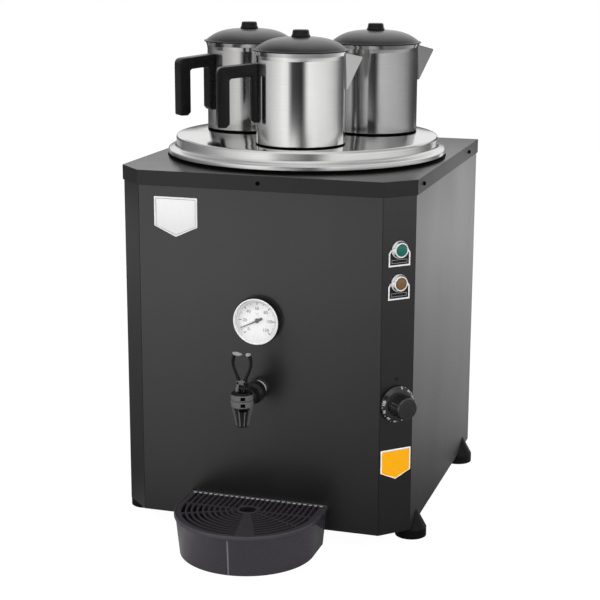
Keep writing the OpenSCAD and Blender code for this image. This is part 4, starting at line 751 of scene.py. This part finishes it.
# ---------------- thermometer
def gauge():
    case = lathe("gauge_bezel", round_line(
        [(0.9, 0.5), (30.6, 0.5, 0.6), (31.5, 1.6, 0.8), (31.5, 9.2, 1.2), (30.2, 12.0, 1.0),
         (28.9, 12.0, 0.4), (28.5, 10.5), (30.0, 10.5), (30.0, 4.0), (28.5, 4.0), (28.5, 2.0), (0.9, 2.0),
         (0.9, 0.5)]),
        "bezel", 160)
    face_finish(case, "plastic", lambda f: abs(f.normal.z) < 0.5 and f.center.xy.length > 30.9 * MM)
    put(case, on_front(0, GAUGE_Z), "cabinet", "bezel_chrome", "gauge_case")
    parts = [lathe("dial", [(0.9, 4.0), (29.9, 4.0), (29.9, 4.7), (29.3, DIAL_TOP), (0.9, DIAL_TOP),
                            (0.9, 4.0)], "white", 96)]
    for k in range(61):
        big = k % 10 == 0
        w, l = (0.5, 3.6) if big else ((0.28, 2.6) if k % 5 == 0 else (0.16, 1.6))
        tick = box("tick", (24.8 - l, -w, 4.8), (24.8, w, 4.88), "ink" if big else "grey_print_and_painted_light")
        parts.append(move(tick, R(DIAL_START - 4.5 * k)))
    for r in (25.0, 27.6):
        arc = []
        for k in range(55):
            a = math.radians(DIAL_START - DIAL_SPAN + DIAL_SPAN * k / 54)
            arc.append((r * math.cos(a), r * math.sin(a)))
        line = arc + [((r + 0.22) / r * x, (r + 0.22) / r * y) for x, y in reversed(arc)]
        parts.append(prism("arc", line, 4.8, 4.86, "grey_print_and_painted_light"))
    for k in range(7):
        a = math.radians(DIAL_START - 45 * k)
        n = words("numeral", str(20 * k), 5.8, "ink")
        parts.append(move(n, T(NUMERAL_R * math.cos(a), NUMERAL_R * math.sin(a) - 0.2, 4.86)))
    parts.append(move(words("unit", "°C", 5.0, "grey_print_and_painted_light"), T(0, 8.6, 4.86)))
    put(join("gauge_scale", parts), on_front(0, GAUGE_Z), "cabinet", "white_enamel", "gauge_dial")
    hub = lathe("hub", round_line([(0, 0.8), (0.8, 0.8), (0.8, 5.1), (3.0, 5.1), (3.0, 6.3, 0.4), (0, 6.7)]),
                "needle", 48)
    blade = prism("blade", [(-1.6, -7.4), (0, -8.8), (1.6, -7.4), (1.9, -5.4), (0.9, 0), (0.36, NEEDLE_LONG),
                            (-0.36, NEEDLE_LONG), (-0.9, 0), (-1.9, -5.4)], 5.5, 6.1, "needle")
    o = join("gauge_pointer", [hub, move(blade, R(NEEDLE_REST))])
    put(o, on_front(0, GAUGE_Z), "needle", "needle_black", "gauge_needle")


gauge()


# ---------------- corner controls
def corner():
    parts = [lathe("skirt", round_line(
        [(3.05, 1), (24.2, 1, 0.4), (24.5, 2.2, 0.5), (24.3, 3.2, 0.6), (20.0, 6.8, 1.2), (15.8, 7.4),
         (15.4, 7.4), (15.2, 8), (14.4, 26.4, 1.2), (13.2, 28, 1.0), (0, 28.0), (0, 14.3), (3.05, 14.3),
         (3.05, 1)]), "knob", 144)]
    for k in range(20):
        parts.append(move(box("rib", (13.6, -0.45, 8), (15.2, 0.45, 25.0), "plastic"), R(18 * k)))
    # the print leans with the skirt's cone
    lean = R(math.degrees(math.atan2(3.6, 4.3)), "Y")
    for k in range(10):
        a = 78 - 30 * k
        n = words("mark", str(k * 10 + 10) if k else "0", 5.0, "white_ink", 0.05)
        parts.append(move(n, R(a) @ T(21.9, 0, 5.3) @ lean @ R(-90)))
        if k < 9:
            dot = lathe("dot", [(0, 0), (0.45, 0), (0.45, 0.12), (0, 0.12)], "white_ink", 12)
            parts.append(move(dot, R(a - 15) @ T(23.3, 0, 4.1) @ lean))
    put(join("scale_knob", parts), on_corner(KNOB_Z), "knob", "knob_plastic", "thermostat_knob")

    frames, rims = [], []
    edge = [(-15.8, -21.3), (15.8, -21.3), (15.8, -4.2), (12.6, 0.6), (11.3, -1.0), (13.8, -4.8),
            (13.8, -19.3), (-13.8, -19.3), (-13.8, -4.8), (-11.3, -1.0), (-12.6, 0.6), (-15.8, -4.2)]
    bar = rounded([(-11.4, -17.2), (11.4, -17.2), (11.4, -12.6), (-11.4, -12.6)], 0.8)
    inner = [(x * 0.955, (y + 14.9) * 0.78 - 14.9) for x, y in bar]
    ring = [([(8.6, 0.8), (11.6, 0.8), (11.6, 2.2, 0.6), (11.1, 3.5), (8.6, 3.5), (8.6, 0.8)], "bezel"),
            ([(8.6, 3.4), (11.1, 3.4), (9.5, 6.1), (8.6, 6.1), (8.6, 3.4)], "chrome"),
            ([(8.0, 5.6), (9.6, 5.6), (9.6, 6.2, 0.3), (8.9, 6.8, 0.5), (8.0, 6.4, 0.3), (8.0, 5.6)],
             "bezel")]
    for at in (on_corner(GREEN_Z), on_corner(AMBER_Z)):
        plate = prism("plate", round_line([(-16, -21.5, 1), (16, -21.5, 1), (16, -4, 3), (11.75, 2), (8, 9.9),
                                           (0, 12.7, 6), (-8, 9.9), (-11.75, 2), (-16, -4, 3)], closed=True),
                      0, 0.7, "plastic")
        boolean(plate, lathe("hole", [(0, -2), (8.2, -2), (8.2, 3), (0, 3)], "ink", 48))
        border = prism("border", edge, 0.6, 0.95, "white_ink")
        field = prism("field", bar, 0.6, 0.78, "grey_print_and_painted_light")
        boolean(field, prism("cut", inner, 0.3, 1.2, "ink"))
        frames += [move(o, at) for o in (plate, border, field)]
        rims += [move(lathe("ring", round_line(line), mat, 72), at) for line, mat in ring]
    put(join("lamp_label_plates", frames), Matrix(), "cabinet", "black_paint", "lamp_plates")
    put(join("lamp_rings", rims), Matrix(), "cabinet", "bezel_chrome", "lamp_bezels")
    for z, mat, n in ((GREEN_Z, "green", "green_lens"), (AMBER_Z, "amber", "amber_lens")):
        dome = lathe(n + "_dome", round_line([(0, 2.8), (7.8, 2.8), (7.8, 5.8, 0.6), (6.2, 7.0, 1.2),
                                              (3.6, 7.7, 2), (0, 7.8)]), mat, 72)
        put(dome, on_corner(z), "cabinet", n.split("_")[0] + "_plastic", n)

    def shield(w, h, side, s=0.0):
        """A badge's outline, s smaller all round."""
        k = s * 0.9
        return [(-w / 2 + s, -s), (w / 2 - s, -s), (w / 2 - s, -side + s * 0.2), (0, -h + k * 1.15),
                (-w / 2 + s, -side + s * 0.2)]

    base = bevel(prism("tag", rounded(shield(45, 41, 30.75), 0.8), 0, 0.42, "yellow_edge"), 0.12, 2, 50)
    face = prism("tag_face", rounded(shield(45, 41, 30.75, 1.9), 0.6), 0.3, 0.58, "yellow")
    plate = join("corner_plate", [base, face])
    put(plate, on_corner(CORNER_PLATE_Z), "cabinet", "badge_yellow", "side_badge")
    w, h = 59.4, 52
    rim = bevel(prism("badge", rounded(shield(w, h, h * 0.74), 1.2), 0, 1.5, "silver"), 0.4, 3, 50)
    boolean(rim, prism("well", shield(w, h, h * 0.74, 2.2), 0.95, 3, "silver"))
    # a grey floor in the gap between rim and face: painted shade in the groove
    groove_shade = prism("badge_groove_shade", shield(w, h, h * 0.74, 2.1), 0.9, 0.99, "grey_print_and_painted_light")
    face = prism("badge_face", shield(w, h, h * 0.74, 2.9), 0.9, 1.22, "silver")
    put(join("front_plate", [rim, groove_shade, bevel(face, 0.15, 2, 50)]), on_front(*FRONT_PLATE), "cabinet",
        "badge_silver", "badge_plate")


corner()


# ---------------- drip tray and grille
CENTRE = T(0, -STRAIGHT, 0)  # of the tray's round front


def d_line(r, back, steps=72):
    """Outline from the back right, round the front, to the back left; y runs to the panel at 0."""
    turns = [math.radians(-180 * k / steps) for k in range(steps + 1)]
    return [(r, -back)] + [(r * math.cos(a), -STRAIGHT + r * math.sin(a)) for a in turns] + [(-r, -back)]


def tray():
    """A drawn tray: one loop of points per height, joined from the outside, over the rim, to the inside."""
    bm = bmesh.new()
    rows = [(87.6, 0.0, 0.6), (89.0, 0.6, 0.3), (94.0, 49.4, 0.3), (94.4, 49.9, 0.3), (95.4, 50.0, 0.3),
            (96.0, 50.7, 0.3), (96.0, 54.6, 0.3), (95.5, 55.6, 0.5), (94.6, 56.0, 1.2), (93.9, 55.8, 2.4),
            (93.5, 55.2, 2.8), (93.5, 52.0, 2.8), (90.5, 52.0, 5.8), (90.4, 51.6, 5.8), (86.4, 5.0, 6.0),
            (84.6, 3.0, 7.6), (82.0, 2.5, 9.0)]
    loops = [ring_verts(bm, d_line(r, back), z) for r, z, back in rows]
    for a, b in zip(loops, loops[1:]):
        bridge(bm, a, b)
    bm.faces.new(loops[0])
    bm.faces.new(list(reversed(loops[-1])))
    bowl = from_bm("drip_tray_bowl", bm, "tray", 40)
    # a thin ridge down the tray's wall in a lighter grey: painted highlight along it
    seam_highlight = pipe("seam_highlight", [(0, -STRAIGHT - 88.7, 1.0), (0, -STRAIGHT - 93.5, 49.0)], 1.2, "seam_highlight", 12)
    o = join("drip_tray_bowl", [bowl, move(seam_highlight, CENTRE @ R(3) @ T(0, STRAIGHT, 0))])
    put(o, T(0, FRONT_Y, 0), "tray", "tray_plastic", "drip_tray")


def grille():
    top, t, back = 55.0, 3.0, 3.2
    r0, hole, edge = 93.1, 11.0, 6.2
    s_in, rib = hole + 4, 2.4
    pitch = (r0 - 4 - s_in) / 10
    w = 0.66 * pitch
    inner_w = (s_in - rib / 2) / 2 - rib
    plate = prism("grille_plate", d_line(r0, back), top - t, top, "grille")
    boolean(plate, move(lathe("hole", [(0, 40), (hole, 40), (hole, 60), (0, 60)], "grille", 72), CENTRE))
    bm = bmesh.new()
    for i in range(10):
        r = s_in + i * pitch
        pts = d_line(r + w, edge) + list(reversed(d_line(r, edge)))
        lowv, highv = ring_verts(bm, pts, top - t - 1), ring_verts(bm, pts, top + 1)
        m = len(pts)
        bridge(bm, lowv, highv)
        for k in range(m // 2 - 1):
            bm.faces.new((highv[k], highv[k + 1], highv[m - 2 - k], highv[m - 1 - k]))
            bm.faces.new((lowv[m - 1 - k], lowv[m - 2 - k], lowv[k + 1], lowv[k]))
    slots = from_bm("slots", bm, "grille")
    deep, high = top - t - 3, top + 3
    bars = [move(box("bar", (0, -1.2, deep), (TRAY_R, 1.2, high), "grille"), CENTRE @ R(a))
            for a in (-25, 205)]
    bars.append(move(box("bar", (-TRAY_R, -1.2, deep), (TRAY_R, 1.2, high), "grille"), CENTRE))
    bars.append(move(prism("wedge", [(-3, 0), (-14, -TRAY_R), (14, -TRAY_R), (3, 0)], deep, high, "grille"),
                     CENTRE @ R(WEDGE_TURN)))
    for b in bars:
        boolean(slots, b)
    boolean(plate, slots)
    mids = [s_in + i * pitch - (pitch - w) / 2 for i in range(11)]
    for k in range(2):
        x = rib / 2 + k * (inner_w + rib)
        mids.append(x - rib / 2)
        for side in (-1, 1):
            a, b = sorted((side * x, side * (x + inner_w)))
            boolean(plate, box("cut", (a, hole + 3 - STRAIGHT, top - t - 1), (b, -edge, top + 1), "grille"))
    collar = lathe("ring", round_line([(hole, top - t), (hole, top + 0.6, 0.5), (hole + 2.2, top + 0.6, 0.8),
                                       (hole + 3.2, top - 0.1), (hole + 3.2, top - t), (hole, top - t)]),
                   "grille", 72)
    parts = [plate, move(collar, CENTRE)]
    # light grey pads where each rib meets the back bar: painted glints on the slots' ends
    for x in mids:
        for side in ((-1, 1) if x > 0.1 else (1,)):
            end = prism("end", [(-2.1, 0), (2.1, 0), (2.1, 2.9), (-2.1, 2.9)], 0, 0.6, "slot_end_glint")
            parts.append(move(bevel(end, 0.2, 2, 50), T(side * x, -edge - 0.6, top - 0.2)))
    put(join("slotted_grille", parts), T(0, FRONT_Y, 0), "grille", "grille_plastic", "drip_grille")


tray()
grille()


# ---------------- floor, light and camera
def direct_view(nt, lp):
    """1 where the camera sees a surface itself or through glass."""
    m = node(nt, "ShaderNodeMath", operation="MAXIMUM")
    nt.links.new(lp.outputs["Is Camera Ray"], m.inputs[0])
    nt.links.new(lp.outputs["Is Transmission Ray"], m.inputs[1])
    return m.outputs[0]


def blend(nt, fac, share, a, b):
    """Shader a, with the given share of shader b where fac is 1."""
    c = node(nt, "ShaderNodeMath", operation="MULTIPLY")
    c.inputs[1].default_value = share
    nt.links.new(fac, c.inputs[0])
    mix = nt.nodes.new("ShaderNodeMixShader")
    nt.links.new(c.outputs[0], mix.inputs[0])
    nt.links.new(a, mix.inputs[1])
    nt.links.new(b, mix.inputs[2])
    return mix.outputs[0]


def glow(nt, strength):
    e = node(nt, "ShaderNodeEmission")
    e.inputs["Color"].default_value = (1, 1, 1, 1)
    e.inputs["Strength"].default_value = strength
    return e


def round_ramp(nt, space, stops):
    """Grey levels by the angle round the urn in degrees, from -Y towards +X."""
    vector = nt.nodes.new("ShaderNodeTexCoord").outputs[space]
    xyz = nt.nodes.new("ShaderNodeSeparateXYZ")
    nt.links.new(vector, xyz.inputs[0])
    back = node(nt, "ShaderNodeMath", operation="MULTIPLY")
    back.inputs[1].default_value = -1.0
    nt.links.new(xyz.outputs["Y"], back.inputs[0])
    turn = node(nt, "ShaderNodeMath", operation="ARCTAN2")
    nt.links.new(xyz.outputs["X"], turn.inputs[0])
    nt.links.new(back.outputs[0], turn.inputs[1])
    deg = node(nt, "ShaderNodeMath", operation="DEGREES")
    nt.links.new(turn.outputs[0], deg.inputs[0])
    return grey_ramp(nt, deg.outputs[0], -180.0, 180.0, stops)


def grey_ramp(nt, source, start, end, stops):
    """Grey levels at the given places between start and end."""
    span = node(nt, "ShaderNodeMapRange")
    span.inputs["From Min"].default_value = start
    span.inputs["From Max"].default_value = end
    nt.links.new(source, span.inputs["Value"])
    r = nt.nodes.new("ShaderNodeValToRGB")
    els = r.color_ramp.elements
    first, last = stops[0], stops[-1]
    for el, (place, v) in zip(els, (first, last)):
        el.position, el.color = (place - start) / (end - start), (v, v, v, 1)
    for place, v in stops[1:-1]:
        els.new((place - start) / (end - start)).color = (v, v, v, 1)
    nt.links.new(span.outputs["Result"], r.inputs["Fac"])
    return r.outputs["Color"]


# what gloss sees of the floor: dark close to the urn, lighter further out (metres) and by the angle round it
FLOOR_FAR = [(0.2, 0.25), (0.5, 0.47), (1.25, 0.67), (2.05, 1.0)]
FLOOR_ROUND = [(-178, 0.6), (-140, 0.4), (-100, 0.25), (-80, 0.28), (-60, 0.7), (-25, 1.1), (-12, 0.85),
               (0, 0.62), (20, 0.5), (70, 0.38), (110, 0.5), (140, 0.78), (158, 1.0), (178, 0.9)]
# brightness of the studio wall round the urn, by angle from -Y towards +X
WALL_ROUND = [(-178, 0.10), (-125, 0.10), (-110, 0.17), (-98, 0.33), (-80, 0.45), (-60, 0.62), (-40, 0.80),
              (-25, 0.98), (-14, 0.92), (-8, 0.35), (-3, 0.05), (3, 0.025), (21, 0.025), (26, 0.22),
              (31, 0.72), (37, 0.98), (60, 0.89), (80, 0.80), (100, 0.64), (115, 0.44), (128, 0.20),
              (145, 0.09), (160, 0.08), (178, 0.10)]
# the lower strip, which the wall of the urn's lid shows
WALL_LOW = [(-178, 0.10), (-125, 0.12), (-108, 0.16), (-90, 0.04), (-75, 0.18), (-60, 0.52), (-39, 0.69),
            (-18, 0.88), (2, 1.0), (10, 0.60), (19, 0.16), (30, 0.13), (38, 0.58), (49, 0.86), (70, 0.77),
            (105, 0.73), (119, 0.60), (136, 0.22), (158, 0.07), (178, 0.07)]
# brightness of the sky that gloss sees
SKY_ROUND = [(-178, 0.88), (-150, 0.85), (-115, 0.42), (-70, 0.40), (-35, 0.75), (0, 0.80), (40, 0.75),
             (60, 0.5), (110, 0.42), (140, 0.8), (178, 0.88)]
WALL_DISTANCE = 1.0
LAMP_TARGET = Vector((0, 0.05, 0.3))
CAMERA_PLACE = (0.62377, -1.99577, 0.7981)
CAMERA_YAW, CAMERA_PITCH, CAMERA_ROLL = 17.072, 13.622, 0.21
FOCAL_PIXELS, PHOTO_PIXELS, SENSOR = 1557.85, 600, 36.0


def floor():
    bm = bmesh.new()
    bmesh.ops.create_circle(bm, cap_ends=True, radius=14.0, segments=96)
    o = link("studio_floor", mesh_of("studio_floor", bm))
    m, nt, b = new_mat("pale_studio_floor")
    b.inputs["Base Color"].default_value = (0.88, 0.88, 0.88, 1)
    b.inputs["Roughness"].default_value = 0.9
    b.inputs["Specular IOR Level"].default_value = 0.0
    white = glow(nt, 1.05)
    sheen = glow(nt, 1.15)
    far = node(nt, "ShaderNodeVectorMath", operation="LENGTH")
    nt.links.new(nt.nodes.new("ShaderNodeTexCoord").outputs["Object"], far.inputs[0])
    mix = node(nt, "ShaderNodeVectorMath", operation="MULTIPLY")
    nt.links.new(grey_ramp(nt, far.outputs["Value"], 0.0, 3.0, FLOOR_FAR), mix.inputs[0])
    nt.links.new(round_ramp(nt, "Object", FLOOR_ROUND), mix.inputs[1])
    nt.links.new(mix.outputs[0], sheen.inputs["Color"])
    lp = nt.nodes.new("ShaderNodeLightPath")
    shader = blend(nt, lp.outputs["Is Glossy Ray"], 1.0, b.outputs[0], sheen.outputs[0])
    shader = blend(nt, direct_view(nt, lp), 0.93, shader, white.outputs[0])
    nt.links.new(shader, nt.nodes["Material Output"].inputs["Surface"])
    o.data.materials.append(m)


def world():
    w = bpy.data.worlds.new("studio")
    bpy.context.scene.world = w
    w.use_nodes = True
    nt = w.node_tree
    bg = nt.nodes["Background"]
    white, gloss = (nt.nodes.new("ShaderNodeBackground") for _ in range(2))
    for n, grey, strength in ((bg, 0.86, 0.62), (white, 1.0, 1.0), (gloss, 1.0, 1.0)):
        n.inputs["Color"].default_value = (grey, grey, grey, 1)
        n.inputs["Strength"].default_value = strength
    nt.links.new(round_ramp(nt, "Generated", SKY_ROUND), gloss.inputs["Color"])
    lp = nt.nodes.new("ShaderNodeLightPath")
    shader = blend(nt, lp.outputs["Is Glossy Ray"], 1.0, bg.outputs[0], gloss.outputs[0])
    shader = blend(nt, direct_view(nt, lp), 1.0, shader, white.outputs[0])
    nt.links.new(shader, nt.nodes["World Output"].inputs["Surface"])


def studio_wall(name, start, end, low, high, stops):
    """A strip that only gloss sees, bright or dark by its angle round the urn."""
    steps = 48
    bm = bmesh.new()
    rows = []
    for k in range(steps + 1):
        a = math.radians(start + (end - start) * k / steps)
        x, y = WALL_DISTANCE * math.sin(a), -WALL_DISTANCE * math.cos(a)
        rows.append((bm.verts.new((x, y, low)), bm.verts.new((x, y, high))))
    for (a, b), (c, d) in zip(rows, rows[1:]):
        bm.faces.new((a, c, d, b))
    o = link(name, mesh_of(name, bm))
    m, nt, b = new_mat(name + "_cloth")
    e = glow(nt, 1.0)
    nt.links.new(round_ramp(nt, "Object", stops), e.inputs["Color"])
    nt.links.new(e.outputs[0], nt.nodes["Material Output"].inputs["Surface"])
    o.data.materials.append(m)
    o.visible_camera = o.visible_diffuse = o.visible_shadow = False
    o.visible_transmission = o.visible_volume_scatter = False


def lamp(name, place, size, watts):
    """A round soft box that lights but isn't mirrored."""
    light = bpy.data.lights.new(name, "AREA")
    light.shape, light.size, light.energy = "DISK", size, watts
    o = link(name, light)
    o.location = place
    o.visible_glossy = False
    o.rotation_mode = "QUATERNION"
    o.rotation_quaternion = (LAMP_TARGET - Vector(place)).to_track_quat("-Z", "Y")


def camera():
    c = bpy.data.cameras.new("photo_camera")
    c.sensor_width = SENSOR
    c.lens = SENSOR * FOCAL_PIXELS / PHOTO_PIXELS
    c.clip_start, c.clip_end = 0.1, 60
    o = link("photo_camera", c)
    yaw, pitch, roll = (math.radians(a) for a in (CAMERA_YAW, CAMERA_PITCH, CAMERA_ROLL))
    fwd = Vector((-math.sin(yaw) * math.cos(pitch), math.cos(yaw) * math.cos(pitch), -math.sin(pitch)))
    right = Vector((math.cos(yaw), math.sin(yaw), 0))
    up = right.cross(fwd)
    r2 = right * math.cos(roll) + up * math.sin(roll)
    u2 = up * math.cos(roll) - right * math.sin(roll)
    m = Matrix((r2, u2, -fwd)).transposed().to_4x4()
    m.translation = Vector(CAMERA_PLACE)
    o.matrix_world = m
    bpy.context.scene.camera = o


floor()
world()
studio_wall("front_wall", -122, 122, 0.41, 0.59, WALL_ROUND)
studio_wall("low_wall", -122, 150, 0.30, 0.405, WALL_LOW)
studio_wall("back_wall", 122, 238, 0.405, 0.59, WALL_ROUND)
studio_wall("high_wall", -122, 122, 0.592, 0.72, [(a, 0.45 * v) for a, v in WALL_ROUND])
lamp("key_softbox", (-1.5, -1.7, 2.3), 1.3, 40)
lamp("fill_softbox", (1.9, -0.9, 1.7), 1.3, 24)
lamp("back_softbox", (0.2, 2.0, 2.2), 1.5, 22)
camera()
bpy.context.scene.view_settings.view_transform = "Standard"
